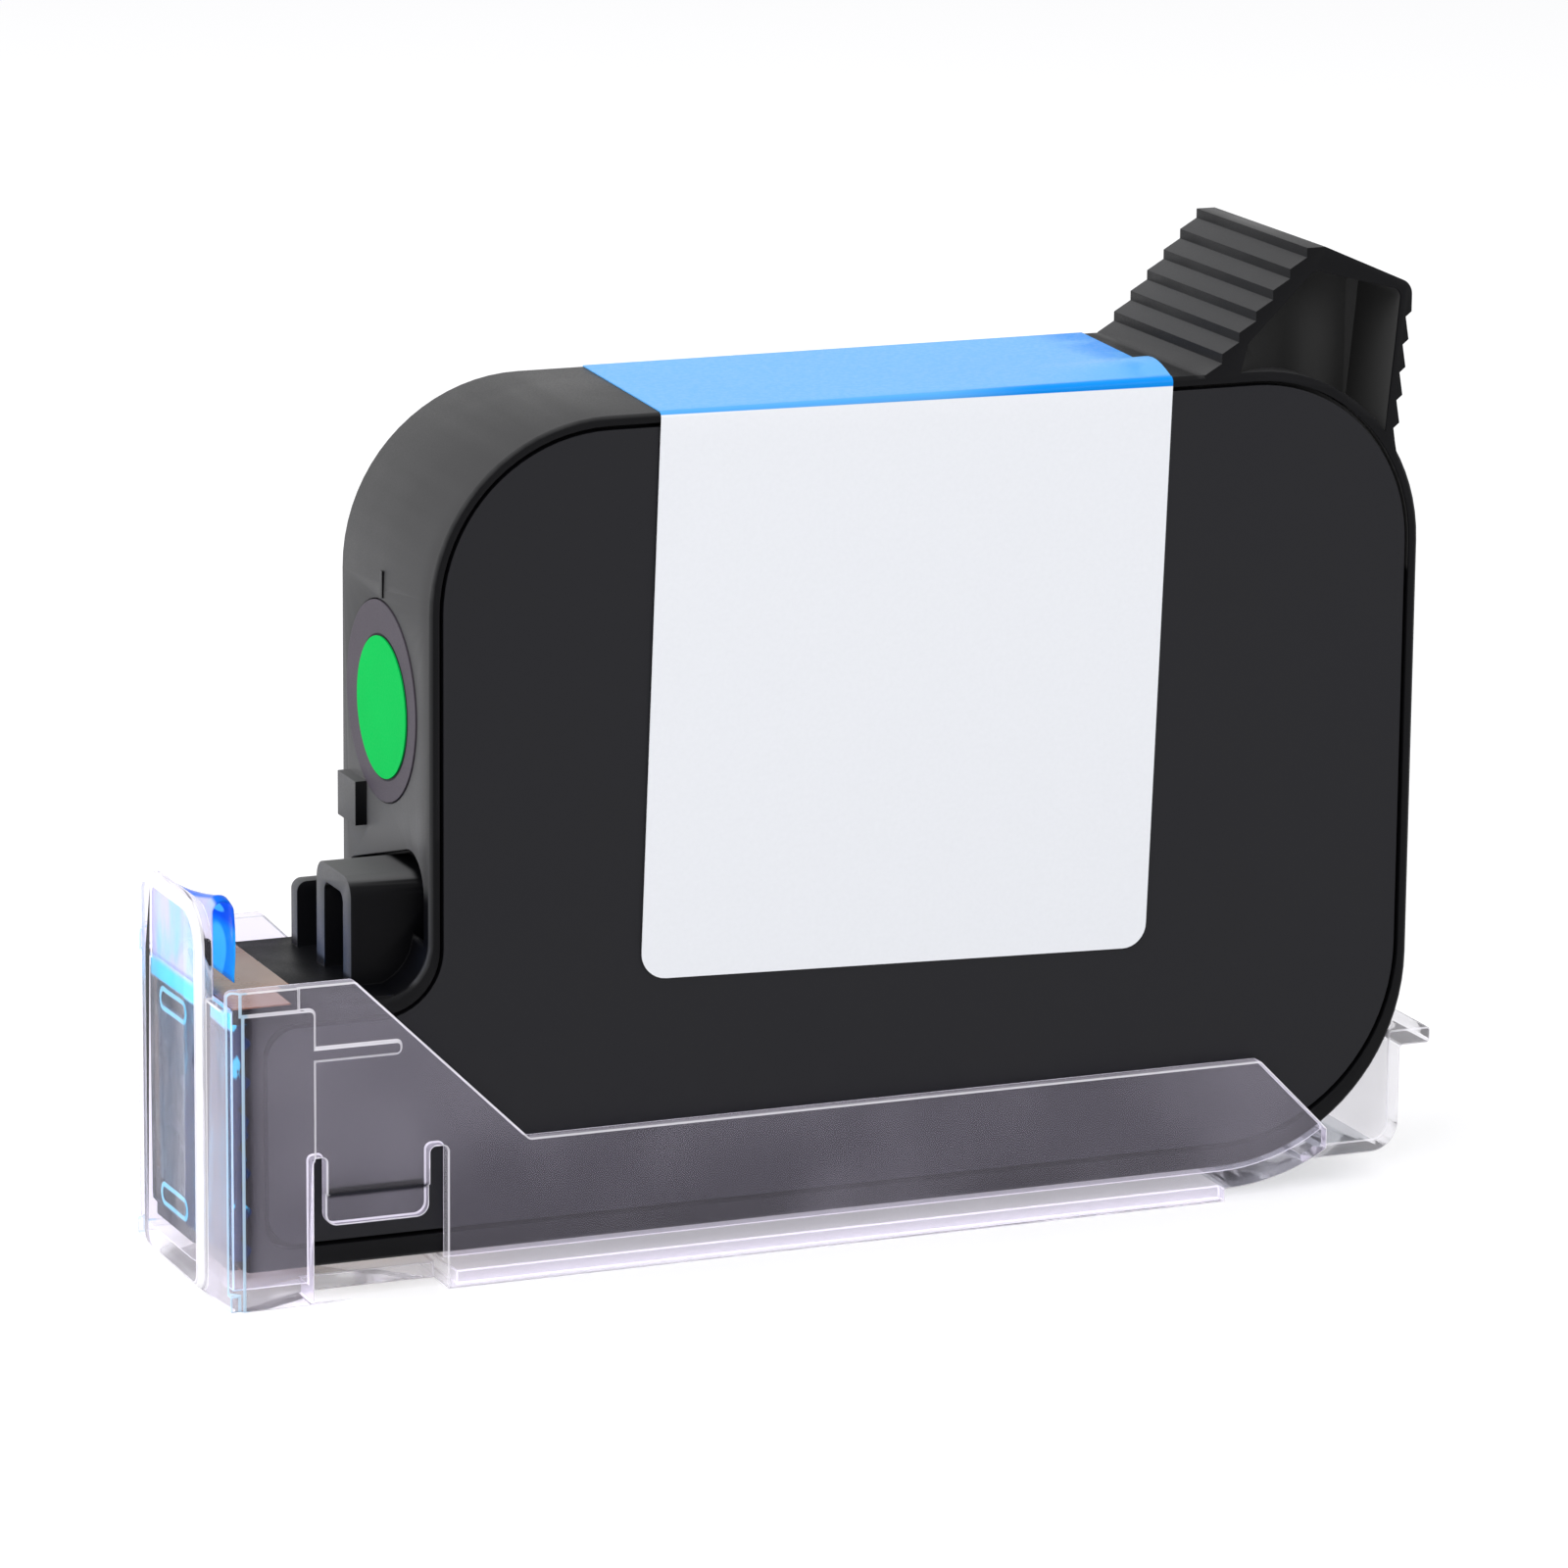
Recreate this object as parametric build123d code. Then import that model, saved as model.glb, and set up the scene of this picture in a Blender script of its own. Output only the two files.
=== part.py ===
from build123d import *
import math
import os

# Half-inch thermal inkjet cartridge of a date coder, in its clear shipping clip.
# Millimetres. X runs from the nozzles to the handle, Y across the thickness, Z up.
# The origin is on the clip's underside, at mid thickness, below the body's end face.

# Cartridge body: one flat moulded ring with a snout at its foot
body_length = 82.7
body_top = 66.6
body_bottom = 2.5
body_thickness = 20.0
top_corner_radius = 14.4
heel_radius = 16.2
edge_break = 0.25
nose_x = -15.5
shoulder_z = 22.9
nose_corner_radius = 1.2
neck_radius = 4.0

# Walls of the moulded ring
rim_width = 0.75
nose_rim = 2.1
shoulder_rim = 1.2
foot_rim = 1.6
ledge_width = 2.25

# Raised middle of the snout, and what stands on it in front of the end face
deck_step = 0.25
deck_margin = 0.4
niche_height = 11.0
niche_far_height = 6.3
niche_depth = 1.9
niche_margin = 1.5
niche_corner = 3.0
stand_reach = 5.0
stand_root = 1.0
hood_margin = 3.5
hood_width = 7.9
hood_height = 8.3
hood_wall = 1.8
hood_roof = 1.45
hood_corner = 1.6
fin_margin = 1.8
fin_thickness = 1.4
fin_height = 5.2
fin_corner = 0.8

# End face: level window, its dot, a stop nub and a short tick
window_y = 0.8
window_rise = 20.35
window_radius = 7.8
window_depth = 1.2
window_proud = 0.1
window_gap = 0.1
dot_shift_y = -0.4
dot_shift_z = -0.4
dot_radius = 5.5
dot_thickness = 0.12
nub_margin = 1.6
nub_width = 4.1
nub_rise = 9.8
nub_height = 3.5
nub_reach = 0.95
tick_gap = 0.3
tick_height = 2.1
tick_width = 0.5
tick_proud = 0.15

# Handle over the top rear corner
handle_setback = 18.85
handle_rise = 9.5
tooth_count = 6
tooth_step_x = 1.42
tooth_riser = 0.75
handle_flat = 1.6
handle_slope = 23.6
handle_rear_setback = 1.1
handle_corner = 1.3
waist_setback = 2.25
waist_drop = 6.3
bump_count = 5
bump_pitch = 2.2
bump_drop = 2.2
bump_proud = 0.5
bump_undercut = 0.4
pocket_rim = 0.9
pocket_depth = 7.5
pocket_corner = 0.8

# Side covers
cover_thickness = 1.0
cover_recess = 0.1
groove_width = 0.35

# Bag carrier inside the ring, its films, plates and bow spring
carrier_gap = 0.15
carrier_wall = 1.7
carrier_clearance = 0.4
bag_corner = 6.0
film_thickness = 0.12
film_margin = 0.5
plate_margin = 4.0
plate_thickness = 0.4
spring_length = 44.0
spring_width = 12.0
spring_strip = 0.35
spring_gap = 0.05

# Ink chamber in the snout, with a screen on each side
chamber_setback = 7.5
chamber_length = 9.0
chamber_height = 7.0
chamber_side = 3.0
screen_margin = 1.0
screen_thickness = 0.3
screen_gap = 0.1
passage_depth = 2.5

# Print head on the nose
die_margin = 5.8
die_width = 6.6
die_height = 14.4
die_thickness = 0.6
die_gap = 0.1
slot_width = 2.4
slot_height = 9.0
foil_thickness = 0.12
bead_height = 1.4
bead_gap = 0.1
bead_proud = 0.1
bead_corner = 0.45

# Flexible circuit with its contact pads under the snout
flex_margin = 1.7
flex_tail = 6.15
flex_near_tail = 4.45
flex_near_strip = 4.7
flex_foot = 23.5
pad_columns = 4
pad_rows = 13
pad_length = 2.6
pad_width = 0.8
pad_pitch_x = 4.6
pad_thickness = 0.05
pad_setback = 2.3
pad_margin = 1.0

# Fill port under the body
fill_x = 26.0
ball_radius = 2.0
ball_gap = 0.05
ball_depth = 0.3

# Label strip over the near side and the top
label_left_x = 18.45
label_handle_gap = 2.85
label_drop = 44.1
label_turn = 1.8
label_skew = 1.3
label_corner = 2.0
label_thickness = 0.1
label_top_margin = 0.2

# Peel-off tape over the nozzles
tape_thickness = 0.1
tape_gap = 0.02
tape_margin = 1.4
tape_foot = 1.1
tape_lap = 1.1
tape_lap_top = 0.75
tab_near_margin = 4.6
tab_far_margin = 1.85
tab_height = 6.55
tab_fold = 1.8
tab_return = 5.3

# Clear shipping clip
clip_wall = 1.25
clip_side_gap = 0.15
head_gap = 0.12
head_depth = 1.34
head_edge = 0.55
tray_near_margin = 4.0
tray_far_margin = 2.1
tray_height = 7.05
tray_near_corner = 3.2
tray_far_corner = 1.5
shoulder_wall = 0.6
shoulder_corner = 1.0
pad_reach = 5.68
pad_rise = 0.25
pad_swell = 0.3
pad_corner = 0.5
post_reach = 4.45
post_swell = 0.15
wall_rise = 1.8
wall_peak_reach = 9.05
brow_slope = 44.3
long_edge_rise = 8.8
long_edge_reach = 2.9
wall_reach = 8.9
wall_corner = 0.5
floor_gap = 0.35
floor_thickness = 1.1
front_floor = 1.3
front_floor_inset = 3.3
rail_setback = 0.3
rail_width = 1.2
rail_corner = 0.6
gate_start = 5.54
gate_width = 10.85
slot_rise = 0.1
left_slot = 1.1
right_slot = 1.4
tongue_length = 5.5
tongue_corner = 1.0
lip_height = 2.5
lip_depth = 0.3
rib_length = 7.3
rib_drop = 4.05
rib_height = 1.0
rib_corner = 0.4
strap_end_angle = 57.0
hook_margin = 0.6
hook_foot_drop = 0.35
hook_start = 7.5
hook_clearance = 0.3
hook_wall = 1.1
hook_corner = 2.4
hook_drop = 6.6
hook_edge = 0.3
tab_thickness = 1.3
tab_reach = 2.65

# Worked out from the sizes above: body
half = body_thickness / 2
end_past = half
deck_z = shoulder_z + deck_step
deck_half = half - deck_margin
niche_half = half - niche_margin
niche_top = deck_z + niche_height
cavity_inset = rim_width + ledge_width
cover_face = half - cover_recess
ledge_face = cover_face - cover_thickness
carrier_half = ledge_face - carrier_clearance
heel_x = body_length - heel_radius
heel_z = body_bottom + heel_radius

# End face
nub_y = half - nub_margin - nub_width
nub_z = deck_z + nub_rise
window_z = deck_z + window_rise

# Handle
handle_top_z = body_top + handle_rise
handle_base_x = body_length - handle_setback
handle_peak_x = handle_base_x + tooth_count * tooth_step_x
handle_flat_end = handle_peak_x + handle_flat
tooth_step_z = handle_rise / tooth_count
handle_rear_x = body_length - handle_rear_setback
slope_drop = (handle_rear_x - handle_flat_end) * math.tan(math.radians(handle_slope))
handle_corner_z = handle_top_z - slope_drop
waist_x = body_length - waist_setback
waist_z = body_top - waist_drop

# Snout and print head
snout_middle_z = (body_bottom + shoulder_z) / 2
chamber_x = nose_x + chamber_setback
chamber_half = carrier_half - chamber_side
die_y = half - die_margin
foil_face = nose_x - foil_thickness
flex_half = half - flex_margin
tape_face = foil_face - bead_proud - tape_gap
tape_outer = tape_face - tape_thickness
tape_half = half - tape_margin
tape_foot_z = body_bottom + tape_foot

# Clip
wall_inner = half + clip_side_gap
wall_outer = wall_inner + clip_wall
pad_outer = wall_outer + pad_swell
post_outer = wall_outer + post_swell
head_back_x = tape_outer - head_gap
head_front_x = head_back_x - head_depth
head_side_x = head_back_x - shoulder_wall
tray_near_y = tray_near_margin - half
tray_far_y = half - tray_far_margin
tray_top = deck_z + tray_height
pad_top = shoulder_z + pad_rise
pad_end_x = nose_x + pad_reach
post_end_x = nose_x + post_reach
wall_top = deck_z + wall_rise
wall_peak_x = nose_x + wall_peak_reach
long_edge_z = body_bottom + long_edge_rise
brow_run = (wall_top - long_edge_z) / math.tan(math.radians(brow_slope))
wall_end_x = heel_x + wall_reach
wall_end_z = heel_z - math.sqrt(heel_radius**2 - wall_reach**2)
floor_top = body_bottom - floor_gap
gate_left_x = nose_x + gate_start
gate_right_x = gate_left_x + gate_width
slot_top = long_edge_z + slot_rise
tongue_foot = slot_top - tongue_length
strap_inner = heel_radius + floor_gap
strap_outer = strap_inner + floor_thickness
hook_top = heel_z - hook_drop
hook_inner_x = heel_x + math.sqrt((heel_radius + hook_clearance) ** 2 - hook_drop**2)
hook_outer_x = hook_inner_x + hook_wall
hook_foot_z = body_bottom - hook_foot_drop


def outline(*corners):
    """Closed face from (across, up, corner radius) in order round the edge."""
    points = [(across_value, up) for across_value, up, _ in corners]
    radii = [radius for _, _, radius in corners]
    return make_face(FilletPolyline(*points, radius=radii, close=True))


def slab(face, low, high):
    """Side drawing in (x, z) given its thickness between two Y values."""
    side = Plane(origin=(0, high, 0), x_dir=(1, 0, 0), z_dir=(0, -1, 0))
    return extrude(side * face, amount=high - low)


def across(face, low, high):
    """End drawing in (y, z) given its depth between two X values."""
    end = Plane(origin=(low, 0, 0), x_dir=(0, 1, 0), z_dir=(1, 0, 0))
    return extrude(end * face, amount=high - low)


def upright(face, low, high):
    """Plan drawing in (x, y) given its height between two Z values."""
    return extrude(Plane.XY.offset(low) * face, amount=high - low)


def block(x_range, y_range, z_range):
    """Box between two corners."""
    low = Vector(x_range[0], y_range[0], z_range[0])
    high = Vector(x_range[1], y_range[1], z_range[1])
    size = high - low
    return Pos(low) * Box(size.X, size.Y, size.Z, align=(Align.MIN, Align.MIN, Align.MIN))


def around(middle, size):
    """Range of the given size about a middle value."""
    return (middle - size / 2, middle + size / 2)


def far(solid):
    """The same piece on the far side."""
    return mirror(solid, about=Plane.XZ)


def both_sides(solid):
    """The solid and its mirror image across the mid plane."""
    return solid + far(solid)


def body_outline(side=0.0, nose=0.0, shoulder=0.0, foot=0.0):
    """The L-shaped side of the cartridge, drawn in by the given margins."""
    nose_radius = nose_corner_radius + nose / 2
    return outline(
        (side, body_top - side, top_corner_radius - side),
        (body_length - side, body_top - side, top_corner_radius - side),
        (body_length - side, body_bottom + foot, heel_radius - side),
        (nose_x + nose, body_bottom + foot, nose_radius),
        (nose_x + nose, shoulder_z - shoulder, nose_radius),
        (side, shoulder_z - shoulder, neck_radius + side),
    )


def inset_outline(extra):
    """Body outline at the cover's groove, drawn in further by the extra margin."""
    return body_outline(
        rim_width + extra,
        nose_rim + extra,
        shoulder_rim + extra,
        foot_rim + extra,
    )


def bag_outline(extra):
    """Opening of the bag carrier, without the snout, drawn in by the extra margin."""
    side = cavity_inset + carrier_gap + carrier_wall + extra
    foot = side + foot_rim - rim_width + body_bottom
    top = body_top - side
    return outline(
        (side, top, top_corner_radius - side),
        (body_length - side, top, top_corner_radius - side),
        (body_length - side, foot, heel_radius - side),
        (side, foot, bag_corner),
    )


def handle_front():
    """Stair of finger teeth, from the foot of the handle to its top edge."""
    points = []
    for step in range(tooth_count):
        x = handle_base_x + step * tooth_step_x
        z = body_top + step * tooth_step_z
        points.append((x, z, 0.0))
        points.append((x + tooth_step_x, z + tooth_step_z - tooth_riser, 0.0))
    points.append((handle_peak_x, handle_top_z, 0.0))
    return points


def handle_rear():
    """Rear edge, from the top corner down over the thumb bumps to the waist."""
    lean = (handle_rear_x - waist_x) / (handle_corner_z - waist_z)
    points = []
    for bump in range(bump_count):
        drop = bump_drop + bump * bump_pitch
        tip_x = handle_rear_x - lean * (drop - bump_drop)
        points.append((tip_x, handle_corner_z - drop, 0.0))
        points.append((tip_x - bump_proud, handle_corner_z - drop - bump_undercut, 0.0))
    points.append((waist_x, waist_z, 0.0))
    return points


def make_handle_pocket():
    """Sloping pocket in the near side of the handle, deepest at the rear."""
    left = handle_base_x + 2 * tooth_step_x
    right = waist_x - pocket_rim
    foot_z = body_top - rim_width
    side = outline(
        (left, foot_z, 0.0),
        (left + pocket_corner, body_top + 2 * tooth_step_z - pocket_rim, pocket_corner),
        (handle_flat_end - pocket_rim, handle_top_z - 2 * pocket_rim, pocket_corner),
        (handle_rear_x - pocket_rim, handle_corner_z - pocket_rim / 2, pocket_corner),
        (right, waist_z, 0.0),
    )
    plan = make_face(
        Polyline(
            (left, -half),
            (right + end_past, -half),
            (right + end_past, pocket_depth - half),
            (right, pocket_depth - half),
            close=True,
        )
    )
    pocket = slab(side, -half, half) & upright(plan, body_bottom, handle_top_z)
    return pocket - slab(body_outline(), -half, half)


def make_handle():
    """Handle as thick as the body, toothed in front and bumped behind."""
    root_z = body_top - cavity_inset
    shape = handle_front()
    shape.append((handle_flat_end, handle_top_z, 0.0))
    shape.append((handle_rear_x, handle_corner_z, handle_corner))
    shape.extend(handle_rear())
    shape.append((body_length - rim_width, body_top - top_corner_radius, 0.0))
    shape.append((body_length - top_corner_radius, root_z, 0.0))
    shape.append((handle_base_x, root_z, 0.0))
    return slab(outline(*shape), -half, half) - both_sides(make_handle_pocket())


def make_hood():
    """Arched hood, open towards the nozzles."""
    near_y = hood_margin - deck_half
    far_y = near_y + hood_width
    root_z = deck_z - stand_root
    top = deck_z + hood_height
    shell = outline(
        (near_y, root_z, 0.0),
        (near_y, top, hood_corner),
        (far_y, top, hood_corner),
        (far_y, root_z, 0.0),
    )
    hollow = outline(
        (near_y + hood_wall, deck_z, 0.0),
        (near_y + hood_wall, top - hood_roof, hood_corner / 2),
        (far_y - hood_wall, top - hood_roof, hood_corner / 2),
        (far_y - hood_wall, deck_z, 0.0),
    )
    return across(shell, -stand_reach, niche_depth) - across(hollow, -stand_reach, niche_depth)


def make_fin():
    """Upright fin beside the hood."""
    root_z = deck_z - stand_root
    shape = outline(
        (-stand_reach, root_z, 0.0),
        (-stand_reach, deck_z + fin_height, fin_corner),
        (niche_depth, deck_z + fin_height, 0.0),
        (niche_depth, root_z, 0.0),
    )
    far_y = deck_half - fin_margin
    return slab(shape, far_y - fin_thickness, far_y)


def make_niche():
    """Shallow hollow in the end face behind hood and fin, higher on the near side."""
    shape = outline(
        (-niche_half, deck_z, 0.0),
        (-niche_half, niche_top, niche_corner),
        (niche_half, deck_z + niche_far_height, niche_corner / 2),
        (niche_half, deck_z, 0.0),
    )
    return across(shape, 0, niche_depth)


def make_snout_cuts():
    """Seat of the print head chip in the nose, and the ink slot behind it."""
    seat = block(
        (nose_x, nose_x + die_thickness),
        around(die_y, die_width + 2 * die_gap),
        around(snout_middle_z, die_height + 2 * die_gap),
    )
    slot = block(
        (nose_x, nose_x + nose_rim + ledge_width),
        around(die_y, slot_width),
        around(snout_middle_z, slot_height),
    )
    return seat + slot


def fill_port():
    """Round port from the underside up into the bag."""
    port = Pos(fill_x, 0) * Circle(ball_radius + ball_gap)
    inside = body_bottom + foot_rim + ledge_width + carrier_gap + carrier_wall
    return upright(port, body_bottom, inside)


def make_ring():
    """Rim of the body with its edges broken, and the deck on the snout."""
    body = slab(body_outline(), -half, half)
    rims = [edge for edge in body.edges() if abs(edge.center().Y) > half - edge_break / 2]
    body = chamfer(rims, edge_break)
    deck = block(
        (nose_x, neck_radius),
        (-deck_half, deck_half),
        (shoulder_z - stand_root, deck_z),
    )
    return body + deck


def make_outer_frame():
    """Moulded ring with snout, handle, hood, nub and the seats of what it carries."""
    tick_z = window_z + window_radius + tick_gap
    seat = Pos(window_y, window_z) * Circle(window_radius + window_gap)
    frame = make_ring() + make_handle()
    frame = frame - make_niche() + make_hood() + make_fin()
    frame -= both_sides(slab(inset_outline(0), -half, -ledge_face))
    frame -= slab(inset_outline(ledge_width), -half, half)
    frame += block((-nub_reach, 0), (nub_y, nub_y + nub_width), (nub_z, nub_z + nub_height))
    frame += block(
        (-tick_proud, 0),
        (window_y - tick_width, window_y),
        (tick_z, tick_z + tick_height),
    )
    frame -= across(seat, -nub_reach, window_depth)
    return frame - make_snout_cuts() - fill_port()


def make_cover():
    """Near side cover, flush in its recess behind a fine groove."""
    return slab(inset_outline(groove_width), -cover_face, -ledge_face)


def make_inner_frame():
    """Carrier of the ink bag, with the screened chamber in the snout."""
    carrier = slab(inset_outline(ledge_width + carrier_gap), -carrier_half, carrier_half)
    carrier -= slab(bag_outline(0), -carrier_half, carrier_half)
    chamber_end = chamber_x + chamber_length
    chamber_zs = around(snout_middle_z, chamber_height)
    carrier -= block((chamber_x, chamber_end), (-chamber_half, chamber_half), chamber_zs)
    seat = block(
        (chamber_x - screen_margin, chamber_end + screen_margin),
        (-carrier_half, -chamber_half),
        around(snout_middle_z, chamber_height + 2 * screen_margin),
    )
    passage = block(
        (chamber_end + screen_margin, cavity_inset + carrier_gap + carrier_wall + bag_corner),
        (-carrier_half, passage_depth - carrier_half),
        chamber_zs,
    )
    outlet = block((nose_x, chamber_x), (die_y - slot_width / 2, chamber_half), chamber_zs)
    return carrier - both_sides(seat) - both_sides(passage) - outlet - fill_port()


def make_film():
    """Bag film staked to the near face of the carrier."""
    face = inset_outline(ledge_width + carrier_gap + film_margin)
    return slab(face, -carrier_half - film_thickness, -carrier_half)


def make_pressure_plate():
    """Stiff plate that the spring holds against the near film."""
    return slab(bag_outline(plate_margin), -carrier_half, plate_thickness - carrier_half)


def make_bow_spring():
    """Flat strip bent to a long oval between the two plates."""
    reach = carrier_half - plate_thickness - spring_gap
    strip = Ellipse(spring_length / 2, reach)
    strip -= Ellipse(spring_length / 2 - spring_strip, reach - spring_strip)
    low, high = around((body_top + body_bottom) / 2, spring_width)
    return upright(Pos(body_length / 2, 0) * strip, low, high)


def make_screen():
    """Filter screen on the near side of the chamber."""
    margin = screen_margin - screen_gap
    return block(
        (chamber_x - margin, chamber_x + chamber_length + margin),
        (-chamber_half - screen_thickness, -chamber_half),
        around(snout_middle_z, chamber_height + 2 * margin),
    )


def make_level_window():
    """Round insert in the end face."""
    face = Pos(window_y, window_z) * Circle(window_radius)
    return across(face, -window_proud, window_depth)


def make_level_dot():
    """Coloured disc on the round insert."""
    face = Pos(window_y + dot_shift_y, window_z + dot_shift_z) * Circle(dot_radius)
    return across(face, -window_proud - dot_thickness, -window_proud)


def make_fill_ball():
    """Steel ball that closes the fill port."""
    return Pos(fill_x, 0, body_bottom + ball_depth + ball_radius) * Sphere(ball_radius)


def make_die():
    """Silicon print head chip, set into the nose, with its ink slot."""
    chip = block(
        (nose_x, nose_x + die_thickness),
        around(die_y, die_width),
        around(snout_middle_z, die_height),
    )
    trench = block(
        (nose_x + die_thickness / 2, nose_x + die_thickness),
        around(die_y, slot_width),
        around(snout_middle_z, slot_height),
    )
    return chip - trench


def make_nozzle_plate():
    """Nozzle foil on the chip."""
    return block(
        (foil_face, nose_x),
        around(die_y, die_width - 2 * die_gap),
        around(snout_middle_z, die_height - 2 * die_gap),
    )


def make_beads():
    """Sealing bead at each end of the nozzle foil."""
    near_y, far_y = around(die_y, die_width - 2 * bead_gap)
    beads = []
    for side in (-1, 1):
        middle = snout_middle_z + side * (die_height / 2 + bead_gap + bead_height / 2)
        low, high = around(middle, bead_height)
        face = outline(
            (near_y, low, bead_corner),
            (near_y, high, bead_corner),
            (far_y, high, bead_corner),
            (far_y, low, bead_corner),
        )
        beads.append(across(face, foil_face - bead_proud, nose_x))
    return Compound(children=beads)


def make_flex():
    """Foil circuit from under the snout, over the nose and onto the deck."""
    under = body_bottom - foil_thickness
    over = deck_z + foil_thickness
    tail_x = nose_x + flex_tail
    foot = block((foil_face, nose_x + flex_foot), (-flex_half, flex_half), (under, body_bottom))
    face = block((foil_face, nose_x), (-flex_half, flex_half), (under, over))
    strip_y = flex_near_strip - deck_half
    tail = block((foil_face, tail_x), (strip_y, deck_half), (deck_z, over))
    tail += block((foil_face, nose_x + flex_near_tail), (-deck_half, strip_y), (deck_z, over))
    opening = block(
        (foil_face, nose_x),
        around(die_y, die_width),
        around(snout_middle_z, die_height + 2 * bead_height + 4 * bead_gap),
    )
    return foot + face + tail - opening


def make_contact_pads():
    """Rows of contact pads on the circuit's underside."""
    under = body_bottom - foil_thickness
    first_y = pad_margin + pad_width / 2 - flex_half
    pitch_y = -2 * first_y / (pad_rows - 1)
    pads = []
    for column in range(pad_columns):
        x = nose_x + pad_setback + column * pad_pitch_x
        for row in range(pad_rows):
            rows = around(first_y + row * pitch_y, pad_width)
            pads.append(block((x, x + pad_length), rows, (under - pad_thickness, under)))
    return Compound(children=pads)


def make_label():
    """Label strip, turned a little, folded over the top edge."""
    turn = math.radians(label_turn)
    width = handle_base_x - label_handle_gap - label_left_x
    top = body_top + label_thickness
    low_x = label_left_x - label_drop * math.sin(turn)
    low_z = body_top - label_drop * math.cos(turn)
    side_face = outline(
        (label_left_x, top, 0.0),
        (label_left_x + width, top, 0.0),
        (low_x + width * math.cos(turn), low_z - width * math.sin(turn), label_corner),
        (low_x, low_z, label_corner),
    )
    far_y = half - label_top_margin
    top_face = make_face(
        Polyline(
            (label_left_x, -half),
            (label_left_x + width, -half),
            (label_left_x + width + label_skew, far_y),
            (label_left_x + label_skew, far_y),
            close=True,
        )
    )
    side = slab(side_face, -half - label_thickness, -half)
    return side + upright(top_face, body_top, top)


def make_pull_tab(foot_z):
    """Pull tab of the tape: up behind the clip's head, folded over and back down."""
    top = foot_z + tab_height
    back = tape_outer + tab_fold
    inner_top = top - tape_thickness
    outer_bend = tab_fold / 2 - tape_thickness / 2
    inner_bend = outer_bend - tape_thickness
    strip = outline(
        (tape_outer, foot_z, 0.0),
        (tape_outer, top, outer_bend),
        (back, top, outer_bend),
        (back, top - tab_fold / 2 - tab_return, 0.0),
        (back - tape_thickness, top - tab_fold / 2 - tab_return, 0.0),
        (back - tape_thickness, inner_top, inner_bend),
        (tape_face, inner_top, inner_bend),
        (tape_face, foot_z, 0.0),
    )
    return slab(strip, tab_near_margin - half, half - tab_far_margin)


def make_tape():
    """Peel-off tape over the nozzles, lapped round the near edge of the nose."""
    deck_face = deck_z + foil_thickness + tape_gap
    lap_z = (tape_foot_z, shoulder_z - tape_lap_top)
    lap_y = -half - tape_thickness
    face = block((tape_outer, tape_face), (-tape_half, tape_half), (tape_foot_z, deck_face))
    wing = block((tape_outer, tape_face), (lap_y, -tape_half), lap_z)
    lap = block((tape_outer, nose_x + tape_lap), (lap_y, -half - tape_gap), lap_z)
    return face + wing + lap + make_pull_tab(deck_face)


def make_clip_head():
    """Front plate of the clip's head, off centre in front of the nozzles."""
    plate = outline(
        (tray_near_y, 0, tray_far_corner),
        (tray_near_y, tray_top, tray_near_corner),
        (tray_far_y, tray_top, tray_far_corner),
        (tray_far_y, 0, tray_far_corner),
    )
    solid = across(plate, head_front_x, head_back_x)
    return chamfer(solid.faces().sort_by(Axis.X)[0].edges(), head_edge)


def make_shoulder_corner():
    """What the upright corner between head and near wall loses to its chamfer."""
    cut = make_face(
        Polyline(
            (head_side_x - pad_swell, -pad_outer - pad_swell),
            (head_side_x + shoulder_corner + pad_swell, -pad_outer - pad_swell),
            (head_side_x - pad_swell, shoulder_corner + pad_swell - pad_outer),
            close=True,
        )
    )
    return upright(cut, -pad_swell, tray_top)


def gate_outline():
    """Gate in a clip wall, with the snap tongue hanging in it."""
    below = -rail_corner
    tongue_left = gate_left_x + left_slot
    tongue_right = gate_right_x - right_slot
    return outline(
        (gate_left_x, below, 0.0),
        (gate_left_x, slot_top, left_slot / 3),
        (tongue_left, slot_top, left_slot / 3),
        (tongue_left, tongue_foot, tongue_corner),
        (tongue_right, tongue_foot, tongue_corner),
        (tongue_right, slot_top, right_slot / 3),
        (gate_right_x, slot_top, right_slot / 3),
        (gate_right_x, below, 0.0),
    )


def make_heel_trim():
    """What a clip wall loses below the round of the heel."""
    reach = Pos(heel_x, heel_z) * Circle(strap_outer)
    behind = Rectangle(strap_outer * 2, heel_z * 2, align=(Align.MIN, Align.MIN))
    return slab(Pos(heel_x, 0) * behind - reach, -wall_outer, -wall_inner)


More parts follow.
